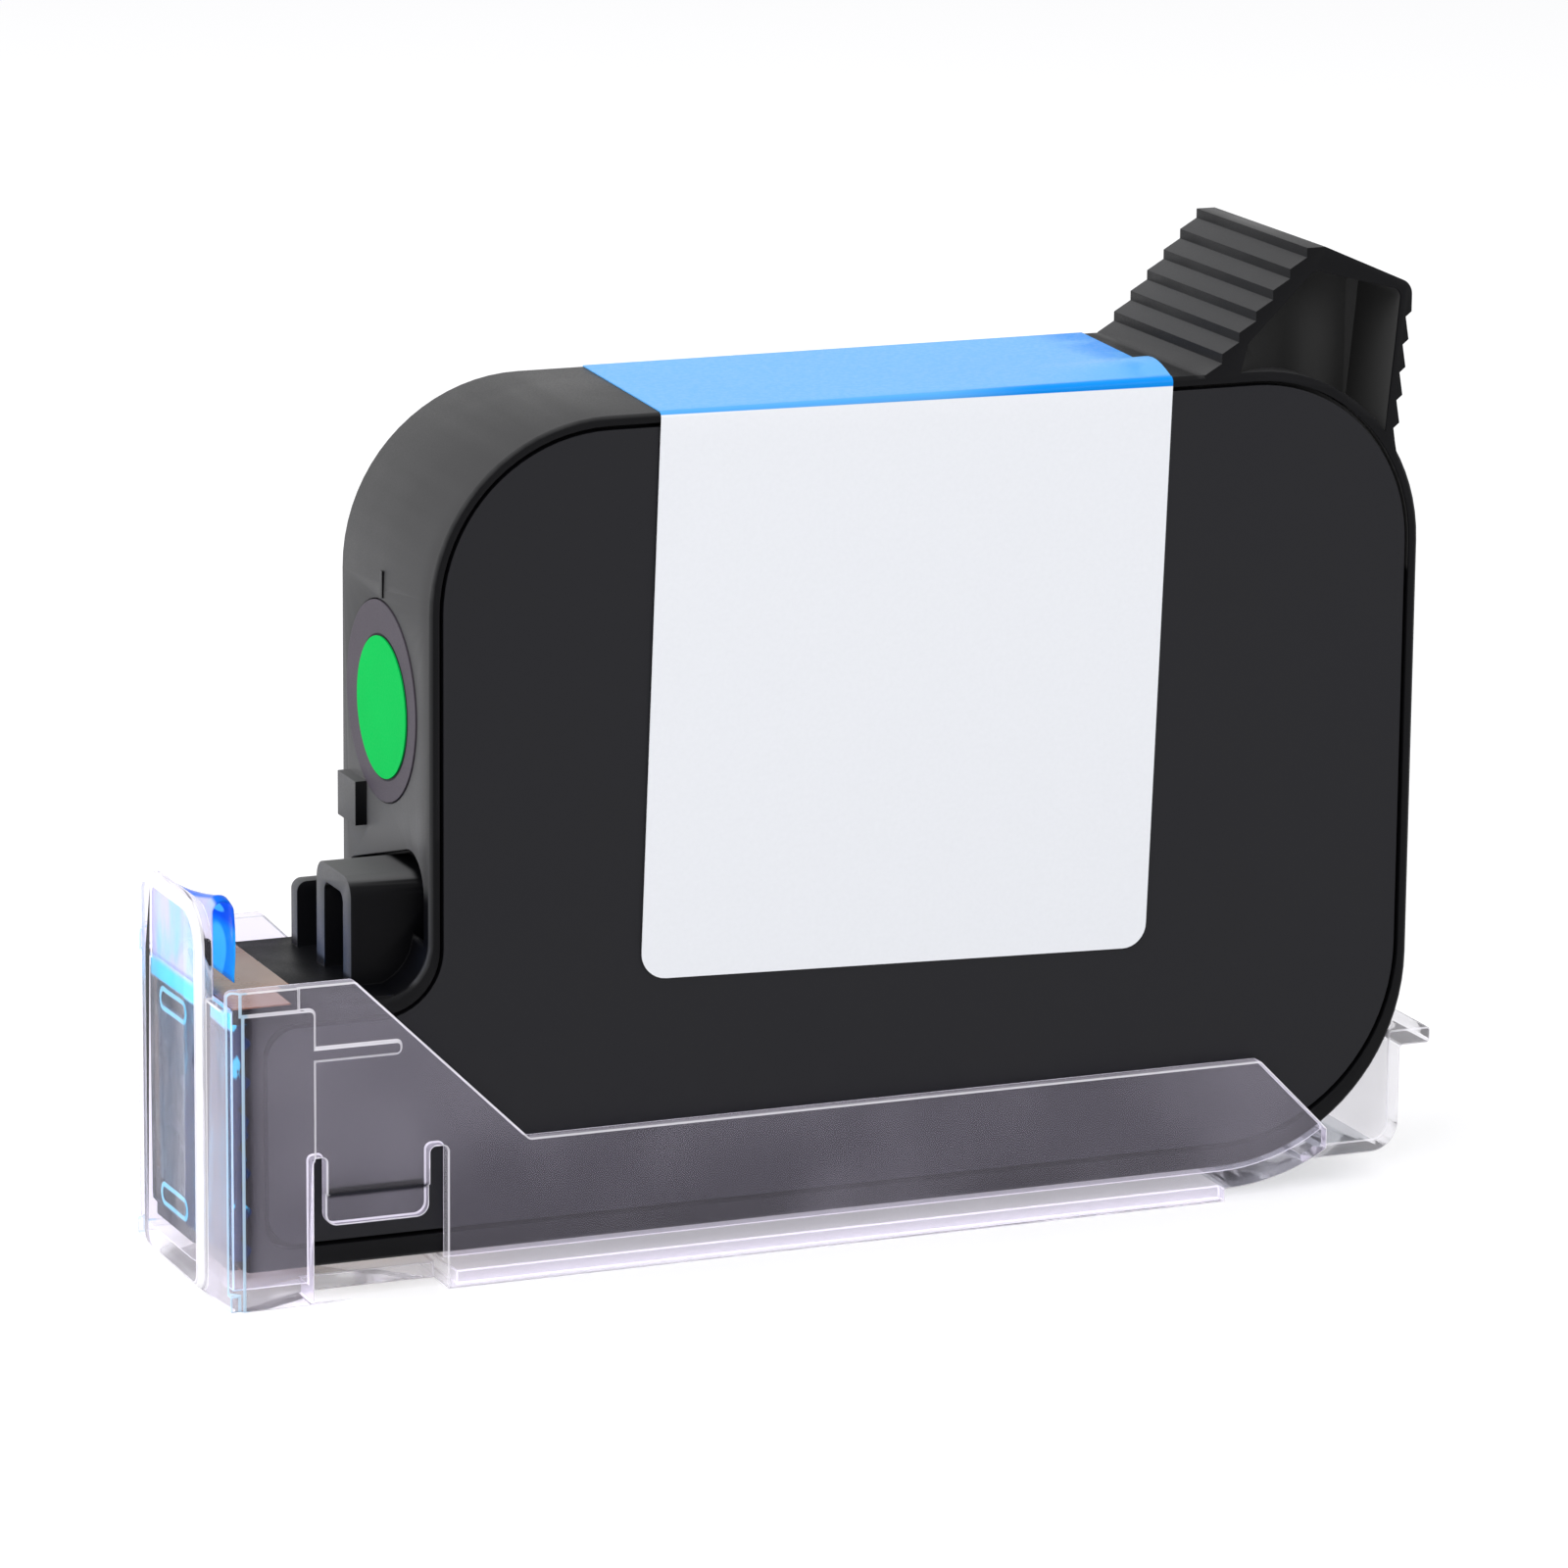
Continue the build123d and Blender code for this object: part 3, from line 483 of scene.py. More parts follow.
@dataclass(frozen=True)
class TapeFilm(Finish):
    """Thin blue peel-off film over the nozzles; places are in millimetres.

    It is nearly clear where it lies flat on the foil, and deep blue where it is
    folded. A cyan ring round each sealing bead, where it lifts off, is a painted highlight.
    """

    name: str = "blue_film"
    flat: Colour = (0.56, 0.56, 0.58, 1.0)
    navy: Colour = (0.002, 0.016, 0.07, 1.0)
    deep: Colour = (0.005, 0.16, 0.75, 1.0)
    blue: Colour = (0.03, 0.45, 0.85, 1.0)
    bright: Colour = (0.25, 0.85, 1.0, 1.0)
    cyan: Colour = (0.08, 0.62, 0.85, 1.0)
    pale: Colour = (0.55, 0.52, 0.76, 1.0)
    wisps: float = 0.2
    reflection_patches: float = 0.55
    ring_highlight_share: float = 0.65
    foil_y: float = 0.9
    bead_y: float = 3.4
    bead_zs: Span = (4.7, 20.3)
    bead_half: Span = (3.0, 0.75)
    lift: float = 0.3
    bend_z: float = 21.4
    fold_z: float = 28.2
    back_x: Span = (-15.65, -15.35)
    lap_x: Span = (-15.3, -14.6)
    lap_y: Span = (-10.0, -9.8)
    oval_middle: Span = (-1.2, 25.5)
    oval_half: Span = (1.9, 2.4)
    patch_middle: Span = (-0.6, 29.2)
    patch_half: Span = (2.4, 0.45)
    clear: float = 0.98
    ring_highlight_body: float = 0.5
    tab_body: float = 0.55
    lap_body: float = 0.75
    bare_body: float = 0.7
    lamp_tint: Colour = (0.35, 0.7, 0.97, 1.0)

    def lift_highlight(self, g: Graph, bead_z: float) -> Socket:
        """Mask of the painted highlight round one bead, where the film lifts."""
        from_y = g.math("ABSOLUTE", g.math("SUBTRACT", g.axis("Y"), self.bead_y * MM))
        from_z = g.math("ABSOLUTE", g.math("SUBTRACT", g.axis("Z"), bead_z * MM))
        core = (self.bead_half[0] - self.bead_half[1]) * MM
        over = g.math("MAXIMUM", g.math("SUBTRACT", from_y, core), 0.0)
        squares = (g.math("POWER", over, 2.0), g.math("POWER", from_z, 2.0))
        out = g.math("SQRT", g.math("ADD", *squares))
        off = g.math("ABSOLUTE", g.math("SUBTRACT", out, self.bead_half[1] * MM))
        return g.ramp(off, 0.1 * MM, self.lift * MM, 1.0, 0.0)

    @staticmethod
    def oval(g: Graph, middle: Span, half: Span) -> Socket:
        """Mask of an oval in y and z."""
        return g.ramp(g.squares(middle, half), 0.7, 1.2, 1.0, 0.0)

    def shader(self, g: Graph) -> Socket:
        """Builds the shader."""
        streak = g.ramp(g.noise(2.4, 3, (1, 1, 0.35)), 0.4, 0.7)
        # Painted highlight: a cyan ring round each bead.
        bead_highlights = g.math("MAXIMUM", *(self.lift_highlight(g, z) for z in self.bead_zs))
        on_foil = g.along("Y", self.foil_y - 0.2, self.foil_y + 0.2)
        down = g.blend(on_foil, self.navy, self.flat)
        down = g.blend(g.math("MULTIPLY", streak, self.wisps), down, self.cyan)
        down = g.blend(g.math("MULTIPLY", bead_highlights, self.ring_highlight_share), down, self.cyan)
        flap = g.blend(self.oval(g, self.oval_middle, self.oval_half), self.blue, self.bright)
        top = g.blend(self.oval(g, self.patch_middle, self.patch_half), self.deep, self.bright)
        fold = g.along("Z", self.fold_z - 0.5, self.fold_z + 0.5)
        # Painted reflection: cyan patches on the front face of the tab.
        front = g.blend(g.math("MULTIPLY", streak, self.reflection_patches), self.pale, self.cyan)
        tab = g.blend(g.along("X", *self.back_x), front, g.blend(fold, flap, top))
        up = g.along("Z", self.bend_z, self.bend_z + 0.4)
        bend = g.every(up, g.along("Z", self.bend_z + 1.3, self.bend_z + 2.0, 1.0, 0.0))
        lap = g.along("Y", *self.lap_y, 1.0, 0.0)
        crinkle = g.ramp(g.noise(0.7, 3, (1, 1, 0.5)), 0.6, 0.68)
        colour = g.blend(bend, g.blend(up, down, tab), self.cyan)
        colour = g.blend(lap, colour, g.blend(crinkle, self.navy, self.cyan))
        body: object = 0.0
        for mask, share in (
            (bead_highlights, self.ring_highlight_body),
            (up, self.tab_body),
            (g.every(lap, g.along("X", *self.lap_x, 1.0, 0.0)), self.lap_body),
            (g.math("SUBTRACT", 1.0, on_foil), self.bare_body),
        ):
            body = g.math("MAXIMUM", body, g.math("MULTIPLY", mask, share))
        shader = g.surface(
            Base_Color=colour,
            Roughness=g.ramp(streak, 0.0, 1.0, 0.08, 0.18),
            IOR=1.1,
            Transmission_Weight=g.math("SUBTRACT", self.clear, body),
            Normal=g.relief(g.noise(1.3, 3, (1, 1, 0.5)), 0.06, 0.6),
        )
        return g.lets_lamps_through(shader, self.lamp_tint)


@dataclass(frozen=True)
class LabelFilm(Finish):
    """Glossy white label film, printed plain blue where it turns over the top."""

    name: str = "label_film"
    white: Colour = tone(236, 238, 243)
    blue: Colour = tone(92, 170, 236)
    # Deeper blue for painted shade and a painted reflection of the dark handle.
    deep: Colour = tone(0, 138, 230)
    print_z: float = 66.42
    print_slope: float = 0.011
    left_x: float = 18.45
    print_soft: float = 0.03
    deep_x: Span = (41.0, 50.0)
    turn_y: Span = (-9.8, -9.3)
    curl_x: Span = (57.0, 61.0)

    def shader(self, g: Graph) -> Socket:
        """Builds the shader."""
        along = g.math("SUBTRACT", g.axis("X"), self.left_x * MM)
        edge = g.math("ADD", g.axis("Z"), g.math("MULTIPLY", along, self.print_slope))
        low, high = self.print_z - self.print_soft, self.print_z + self.print_soft
        printed = g.ramp(edge, low * MM, high * MM)
        # Painted shade and reflection of the dark handle: deeper blue along the turn, growing
        # towards the handle, and in patches on the curled end.
        turned = g.every(
            g.along("Y", *self.turn_y, 1.0, 0.0), g.along("X", *self.deep_x, 0.2, 1.0)
        )
        curl_reflection = g.every(g.along("X", *self.curl_x), g.ramp(g.noise(5, 2), 0.4, 0.6))
        blue = g.drift(g.noise(14, 2), self.blue, 0.94, 1.0)
        blue = g.blend(g.math("MAXIMUM", turned, curl_reflection), blue, self.deep)
        fibre = g.noise(0.35, 3)
        return g.surface(
            Base_Color=g.blend(printed, g.drift(fibre, self.white, 0.97, 1.02), blue),
            Roughness=g.spread(fibre, 0.3, 0.4),
            Specular_IOR_Level=0.12,
            Normal=g.relief(fibre, 0.004, 0.5, g.relief(g.noise(11, 1), 0.05, 0.6)),
        )


@dataclass(frozen=True)
class WindowPlastic(Finish):
    """Matt grey insert, with a painted shadow as a dark ring round its coloured disc."""

    name: str = "window_insert"
    colour: Colour = tone(71, 66, 74)
    dark: Colour = (0.004, 0.006, 0.008, 1.0)
    middle: Span = (0.4, 43.1)
    radius: float = 5.5
    ring: float = 0.16

    def shader(self, g: Graph) -> Socket:
        """Builds the shader."""
        reach = self.radius + self.ring
        out = g.math("SQRT", g.squares(self.middle))
        # Painted shadow: a thin dark ring round the disc.
        disc_edge_shadow = g.ramp(out, reach, reach + 0.06, 1.0, 0.0)
        grain = g.noise(0.12, 3)
        return g.surface(
            Base_Color=g.blend(disc_edge_shadow, g.drift(g.noise(4, 3), self.colour, 0.85, 1.15), self.dark),
            Roughness=g.spread(grain, 0.4, 0.5),
            Specular_IOR_Level=0.06,
            Normal=g.relief(grain, 0.005, 0.6, g.soft_edges(0.1)),
        )


@dataclass(frozen=True)
class SheetMetal(Finish):
    """Metal with rolling lines and slight stains."""

    colour: Colour
    roughness: float = 0.3
    lines: tuple[float, float, float] = (0.04, 1.0, 1.0)
    line_size: float = 0.2
    metallic: float = 1.0

    def shader(self, g: Graph) -> Socket:
        """Builds the shader."""
        lines = g.noise(self.line_size, 3, self.lines)
        return g.surface(
            Base_Color=g.drift(g.noise(3, 3), self.colour, 0.85, 1.0),
            Metallic=self.metallic,
            Roughness=g.spread(lines, self.roughness - 0.06, self.roughness + 0.08),
            Normal=g.relief(lines, 0.004, 0.5, g.soft_edges(0.05)),
        )


@dataclass(frozen=True)
class FilmOrResin(Finish):
    """Thin film, foil circuit or cured resin: a glossy skin with slow colour drift."""

    colour: Colour
    drift: Colour
    roughness: float = 0.25
    blotch: float = 3.0

    def shader(self, g: Graph) -> Socket:
        """Builds the shader."""
        cloud = g.noise(self.blotch, 3)
        return g.surface(
            Base_Color=self.tinted(g, g.blend(cloud, self.colour, self.drift)),
            Roughness=g.spread(cloud, self.roughness - 0.05, self.roughness + 0.08),
            Normal=g.relief(g.noise(self.blotch * 0.3, 2), 0.01, 0.5, g.soft_edges(0.06)),
        )

    def tinted(self, g: Graph, colour: Socket) -> Socket:
        """Colour after the parts that differ; here there are none."""
        return colour


@dataclass(frozen=True)
class FoilCircuit(FilmOrResin):
    """Foil circuit, covered with dark resin over the foot of the nose."""

    covered: Colour = tone(10, 16, 34)
    covered_x: float = -15.0
    covered_z: float = 6.0

    def tinted(self, g: Graph, colour: Socket) -> Socket:
        """Colour after the covered part."""
        nose = g.along("X", self.covered_x, self.covered_x + 0.3, 1.0, 0.0)
        foot = g.along("Z", self.covered_z, self.covered_z + 0.4, 1.0, 0.0)
        return g.blend(g.every(nose, foot), colour, self.covered)


@dataclass(frozen=True)
class PrintedDot(Finish):
    """Flat, even coloured disc with a faint sheen."""

    name: str = "green_disc"
    colour: Colour = tone(0, 175, 76)

    def shader(self, g: Graph) -> Socket:
        """Builds the shader."""
        return g.surface(
            Base_Color=g.drift(g.noise(5, 1), self.colour, 0.95, 1.04),
            Roughness=g.spread(g.noise(0.2, 2), 0.6, 0.7),
            Specular_IOR_Level=0.05,
        )


def new_piece(name: str, bm: bmesh.types.BMesh, smooth: bool = True) -> Piece:
    """Makes an object at the origin from a bmesh.

    Args:
        name: Name of the piece.
        bm: Its geometry in metres; it is freed.
        smooth: Whether its faces are smooth shaded.

    Returns:
        The object, linked to the scene.
    """
    mesh = bpy.data.meshes.new(name)
    bm.to_mesh(mesh)
    bm.free()
    mesh.polygons.foreach_set("use_smooth", [smooth] * len(mesh.polygons))
    piece = bpy.data.objects.new(name, mesh)
    bpy.context.scene.collection.objects.link(piece)
    return piece


def bake_modifiers(piece: Piece) -> None:
    """Turns a piece with modifiers into its plain resulting mesh."""
    graph = bpy.context.evaluated_depsgraph_get()
    made = bpy.data.meshes.new_from_object(piece.evaluated_get(graph))
    piece.modifiers.clear()
    piece.data = made


def thin_sheet(name: str, thickness: float, offset: float, *parts: Rows) -> Piece:
    """Makes a thin sheet of quads.

    Args:
        name: Name of the piece.
        thickness: Its thickness in millimetres.
        offset: Where the points lie in it, -1 for the outside and 0 for the middle.
        *parts: Equal rows of points in millimetres, one list for each part.

    Returns:
        The piece.
    """
    bm = bmesh.new()
    for rows in parts:
        lines = [[bm.verts.new(point * MM) for point in row] for row in rows]
        for below, above in zip(lines, lines[1:]):
            for a, b, c, d in zip(below, below[1:], above[1:], above):
                bm.faces.new((a, b, c, d))
    bmesh.ops.recalc_face_normals(bm, faces=bm.faces)
    piece = new_piece(name, bm)
    skin = piece.modifiers.new("skin", "SOLIDIFY")
    skin.thickness = thickness * MM
    skin.offset = offset
    bake_modifiers(piece)
    return piece


def shares(steps: int) -> list[float]:
    """Equal steps from 0 to 1, both included."""
    return [i / steps for i in range(steps + 1)]


def arc(steps: int, turn: float = math.pi / 2) -> list[Span]:
    """How far an arc of radius 1 has moved in and along, at equal steps of its turn."""
    return [(1 - math.cos(turn * part), math.sin(turn * part)) for part in shares(steps)]


def merged_copy(node: str, name: str) -> Piece:
    """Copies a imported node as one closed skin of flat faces.

    Args:
        node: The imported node.
        name: Name of the copy.

    Returns:
        The new piece.
    """
    bm = bmesh.new()
    bm.from_mesh(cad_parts[node].data)
    for layer in list(bm.loops.layers.float_vector.values()):
        bm.loops.layers.float_vector.remove(layer)
    bmesh.ops.remove_doubles(bm, verts=bm.verts, dist=0.002 * MM)
    flat = math.radians(0.4)
    bmesh.ops.dissolve_limit(bm, angle_limit=flat, verts=bm.verts, edges=bm.edges)
    return new_piece(name, bm)


def round_edges(piece: Piece, width: float, angle: float, slot: int = -1) -> None:
    """Rounds the sharp edges of a piece.

    Args:
        piece: The piece.
        width: Size of the rounding in millimetres.
        angle: Edges sharper than this many degrees are rounded.
        slot: Material slot of the rounded edges; -1 keeps the faces' own.
    """
    round_off = piece.modifiers.new("round_off", "BEVEL")
    round_off.width = width * MM
    round_off.segments = 2
    round_off.limit_method = "ANGLE"
    round_off.angle_limit = math.radians(angle)
    round_off.use_clamp_overlap = slot < 0
    round_off.harden_normals = True
    round_off.material = slot
    bake_modifiers(piece)


def keep_inside(piece: Piece, node: str) -> None:
    """Presses stray corners of a rounded piece back into its solid's box."""
    low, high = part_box(node)
    for vertex in piece.data.vertices:
        vertex.co = [min(max(c, a), b) for c, a, b in zip(vertex.co, low, high)]


def dress(material: Material, *nodes: str) -> None:
    """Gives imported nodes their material."""
    for node in nodes:
        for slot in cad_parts[node].material_slots:
            slot.material = material
        log.info("dressed %s", node)


def place(piece: Piece, material: Material | None, body: Body, slot: str) -> None:
    """Dresses a new piece and fixes it to its body.

    Args:
        piece: The piece.
        material: Its finish, or None if its mesh has one.
        body: The body that it moves with.
        slot: The record's material slot that it belongs to; not used.
    """
    if material is not None:
        piece.data.materials.clear()
        piece.data.materials.append(material)
    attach(piece, body.value)
    log.info("made %s", piece.name)


@dataclass
class Housing:
    """The moulded body: ring, covers and the parts of the end face."""

    edge: float = 0.1
    sharp: float = 28.0
    frame_finish: FramePlastic = FramePlastic(
        "frame_plastic", tone(14, 14, 16), specular=0.08, dust=0.5
    )
    cover_finish: MouldedPlastic = MouldedPlastic(
        "cover_plastic", tone(16, 16, 21), roughness=0.5, specular=0.22, dust=0.6
    )
    window_finish: WindowPlastic = field(default_factory=WindowPlastic)
    dot_finish: PrintedDot = field(default_factory=PrintedDot)

    def build(self) -> None:
        """Makes and dresses the housing."""
        ring = merged_copy("outer_frame", "moulded_frame")
        round_edges(ring, self.edge, self.sharp)
        place(ring, self.frame_finish.make(), Body.CARTRIDGE, "frame_black")
        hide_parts("outer_frame")
        dress(self.cover_finish.make(), "near_cover", "far_cover")
        dress(self.window_finish.make(), "level_window")
        dress(self.dot_finish.make(), "level_dot")


@dataclass
class InkBag:
    """What lies inside the housing: carrier, films, plates, spring and screens.

    Sizes are in millimetres.
    """

    plate_travel: float = 5.5
    spring_play: float = 0.08
    carrier: MouldedPlastic = MouldedPlastic(
        "carrier_plastic", tone(120, 122, 124), roughness=0.5
    )
    film: FilmOrResin = FilmOrResin(
        "bag_foil", tone(196, 198, 202), tone(214, 214, 214), roughness=0.3, blotch=6
    )
    steel: SheetMetal = SheetMetal("spring_steel", tone(196, 196, 200))
    mesh: SheetMetal = SheetMetal("screen_mesh", tone(150, 150, 152), 0.45, (1, 1, 1), 0.05)
    ball: SheetMetal = SheetMetal("ball_steel", tone(205, 205, 208), 0.16)

    def spring(self, finish: Material) -> None:
        """Makes the bow spring from its solid; in the cartridge it flattens as the two plates
        close in.
        """
        bow = merged_copy("bow_spring", "bow_leaf")
        for face in bow.data.polygons:
            face.use_smooth = abs(face.normal.z) < 0.5
        place(bow, finish, Body.CARTRIDGE, "plate_steel")
        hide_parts("bow_spring")
        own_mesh(bow)

    def build(self) -> None:
        """Dresses the inner pieces."""
        dress(self.carrier.make(), "inner_frame")
        dress(self.film.make(), "near_film", "far_film")
        plate = self.steel.make()
        dress(plate, "near_plate", "far_plate")
        self.spring(plate)
        dress(self.mesh.make(), "near_screen", "far_screen")
        dress(self.ball.make(), "fill_ball")


class NodeTools(NodeMaker):
    """Geometry node tree that ends in realised instances with one material."""

    def __init__(self, name: str, numbers: dict[str, float], counts: dict[str, int]) -> None:
        """Starts a tree with named inputs.

        Args:
            name: Name of the tree.
            numbers: Inputs that are lengths or factors, with their values.
            counts: Inputs that are whole numbers, with their values.
        """
        super().__init__(bpy.data.node_groups.new(name, "GeometryNodeTree"))
        face = self.tree.interface
        for way in ("INPUT", "OUTPUT"):
            face.new_socket("Geometry", in_out=way, socket_type="NodeSocketGeometry")
        self.values: dict[str, object] = {}
        for kind, table in (("NodeSocketFloat", numbers), ("NodeSocketInt", counts)):
            for label, value in table.items():
                socket = face.new_socket(label, in_out="INPUT", socket_type=kind)
                self.values[socket.identifier] = value
        self.inputs = self.add("NodeGroupInput").outputs

    def make(self, name: str, instances: Socket, material: Material) -> Piece:
        """Finishes the tree and returns its result as a plain mesh piece.

        Args:
            name: Name of the piece.
            instances: What the tree has made.
            material: The finish of all of it.

        Returns:
            The piece.
        """
        real = self.out("GeometryNodeRealizeInstances", {0: instances})
        done = self.out("GeometryNodeSetMaterial", {0: real, "Material": material})
        self.add("NodeGroupOutput", {0: done})
        piece = new_piece(name, bmesh.new())
        modifier = piece.modifiers.new("rows", "NODES")
        modifier.node_group = self.tree
        for identifier, value in self.values.items():
            modifier[identifier] = value
        bake_modifiers(piece)
        return piece


@dataclass
class PrintHead:
    """Nozzle foil with its rows of openings, beads and foil circuit; sizes in mm."""

    pitch: float = 0.212
    per_row: int = 60
    hole: float = 0.055
    hole_depth: float = 0.008
    row_gap: float = 3.4
    middle_y: float = 4.2
    middle_z: float = 12.7
    face_x: float = -15.626
    trace_width: float = 0.22
    trace_count: int = 13
    trace_pitch: float = 1.15
    trace_depth: float = 0.01
    trace_ends: Span = (-15.2, 7.6)
    trace_z: float = 2.375
    dark: FilmOrResin = FilmOrResin("nozzle_dark", tone(20, 22, 26), tone(34, 36, 42), 0.4)
    copper: SheetMetal = SheetMetal("copper_lines", tone(176, 110, 66), 0.35)
    chip: FilmOrResin = FilmOrResin("silicon_chip", tone(92, 94, 104), tone(72, 76, 92), 0.18)
    foil: FilmOrResin = FilmOrResin("nozzle_sheet", tone(120, 122, 128), tone(96, 100, 110), 0.22)
    bead: FilmOrResin = FilmOrResin("bead_resin", tone(58, 60, 64), tone(44, 46, 50), 0.15)
    circuit: FoilCircuit = FoilCircuit("foil_circuit", tone(138, 96, 70), tone(118, 80, 56), 0.22)
    gold: SheetMetal = SheetMetal("gold_pads", tone(226, 182, 98), 0.28)

    def nozzles(self) -> Piece:
        """Two upright rows of nozzle openings on the foil.

        Returns:
            The piece, in one mesh.
        """
        numbers = {"Pitch": self.pitch * MM, "Row Gap": self.row_gap * MM, "Hole": self.hole * MM}
        tools = NodeTools("nozzle_rows", numbers, {"Per Row": self.per_row})
        spread = tools.math("MULTIPLY", tools.inputs["Pitch"], tools.inputs["Per Row"])
        grid = tools.out(
            "GeometryNodeMeshGrid",
            {0: spread, 1: tools.inputs["Row Gap"], 2: tools.inputs["Per Row"], 3: 2},
        )
        upright = tools.out(
            "GeometryNodeTransform",
            {
                "Geometry": grid,
                "Translation": Vector((self.face_x, self.middle_y, self.middle_z)) * MM,
                "Rotation": (0, -math.pi / 2, 0),
            },
        )
        disc = tools.out(
            "GeometryNodeMeshCylinder",
            {"Vertices": 10, "Radius": tools.inputs["Hole"], "Depth": self.hole_depth * MM},
        )
        rows = tools.out(
            "GeometryNodeInstanceOnPoints",
            {"Points": upright, "Instance": disc, "Rotation": (0, math.pi / 2, 0)},
        )
        return tools.make("nozzle_rows", rows, self.dark.make())

    def traces(self) -> Piece:
        """Copper lines under the foil circuit, from the pads to the nose.

        Returns:
            The piece, in one mesh.
        """
        numbers = {"Width": self.trace_width * MM, "Pitch": self.trace_pitch * MM}
        tools = NodeTools("circuit_lines", numbers, {"Lines": self.trace_count})
        reach = self.trace_ends[1] - self.trace_ends[0]
        middle = (self.trace_ends[1] + self.trace_ends[0]) / 2
        length = (self.trace_count - 1) * self.trace_pitch
        line = tools.out(
            "GeometryNodeMeshLine",
            {
                "Count": tools.inputs["Lines"],
                "Start Location": Vector((middle, -length / 2, self.trace_z)) * MM,
                "Offset": (0, self.trace_pitch * MM, 0),
            },
        )
        sizes = {0: reach * MM, 1: tools.inputs["Width"], 2: self.trace_depth * MM}
        size = tools.out("ShaderNodeCombineXYZ", sizes)
        strip = tools.out("GeometryNodeMeshCube", {"Size": size})
        lines = tools.out("GeometryNodeInstanceOnPoints", {"Points": line, "Instance": strip})
        return tools.make("circuit_lines", lines, self.copper.make())

    def build(self) -> None:
        """Makes and dresses the print head."""
        place(self.nozzles(), None, Body.CARTRIDGE, "nozzle_foil")
        place(self.traces(), None, Body.CARTRIDGE, "flex_amber")
        dress(self.chip.make(), "printhead_chip")
        dress(self.foil.make(), "nozzle_plate")
        dress(self.bead.make(), "encapsulant_beads")
        dress(self.circuit.make(), "flex_circuit")
        dress(self.gold.make(), "contact_pads")


@dataclass
class WrapLabel:
    """Label strip up the near side and over the top, with a rounded fold.

    Sizes are in millimetres.
    """

    thickness: float = 0.1
    skin: float = 0.09
    turn: float = 1.8
    skew: float = 1.3
    corner: float = 2.0
    fold: float = 0.5
    curl: float = 0.75
    curl_width: float = 5.5
    curl_pace: float = 2.6
    width: float = 42.55
    columns: int = 60
    bend_steps: int = 8
    side_steps: int = 24
    top_steps: int = 20
    sharp: float = 40.0
    finish: LabelFilm = field(default_factory=LabelFilm)

    def spots(self) -> list[float]:
        """Places across the width, closer together over the rounded corners."""
        bend = [self.corner * inward for inward, _ in arc(self.bend_steps)]
        step = (self.width - 2 * self.corner) / self.columns
        flat = [self.corner + step * i for i in range(1, self.columns)]
        return bend + flat + [self.width - d for d in reversed(bend)]

    def column(self, across: float, low: Vector, high: Vector) -> list[Vector]:
        """Points of one column, from the foot of the side to the far edge of the top.

        Args:
            across: Distance from the left edge.
            low: Lowest corner of the strip's box.
            high: Highest corner of the strip's box.

        Returns:
            The points in millimetres.
        """
        slant = math.radians(self.turn)
        rest = self.width - across
        drop = high.z - self.thickness - low.z - self.width * math.sin(slant)
        x = low.x + drop * math.tan(slant) + across
        gap = max(0.0, self.corner - min(across, rest))
        inset = self.corner - math.sqrt(self.corner**2 - gap**2)
        foot_z = low.z + rest * math.sin(slant) + inset
        foot = Vector((low.x + across * math.cos(slant), low.y, foot_z))
        start = Vector((x, low.y, high.z - self.fold))
        points = [foot.lerp(start, share) for share in shares(self.side_steps)[:-1]]
        for inward, rise in arc(self.bend_steps):
            points.append(start + self.fold * Vector((0, inward, rise)))
        near_y = low.y + self.fold
        curl = self.curl * math.exp(-((rest / self.curl_width) ** 2))
        for share in shares(self.top_steps)[1:]:
            lift = curl * math.sin(math.pi * min(1.0, share * self.curl_pace))
            y = near_y + (high.y - near_y) * share
            points.append(Vector((x + self.skew * share, y, high.z + lift)))
        return points

    def build(self) -> None:
        """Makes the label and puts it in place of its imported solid."""
        low, high = (Vector(corner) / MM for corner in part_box("wrap_label"))
        rows = [self.column(across, low, high) for across in self.spots()]
        label = thin_sheet("wrapped_label", self.skin, -1, rows)
        label.data.set_sharp_from_angle(angle=math.radians(self.sharp))
        place(label, self.finish.make(), Body.CARTRIDGE, "label_white")
        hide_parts("wrap_label")


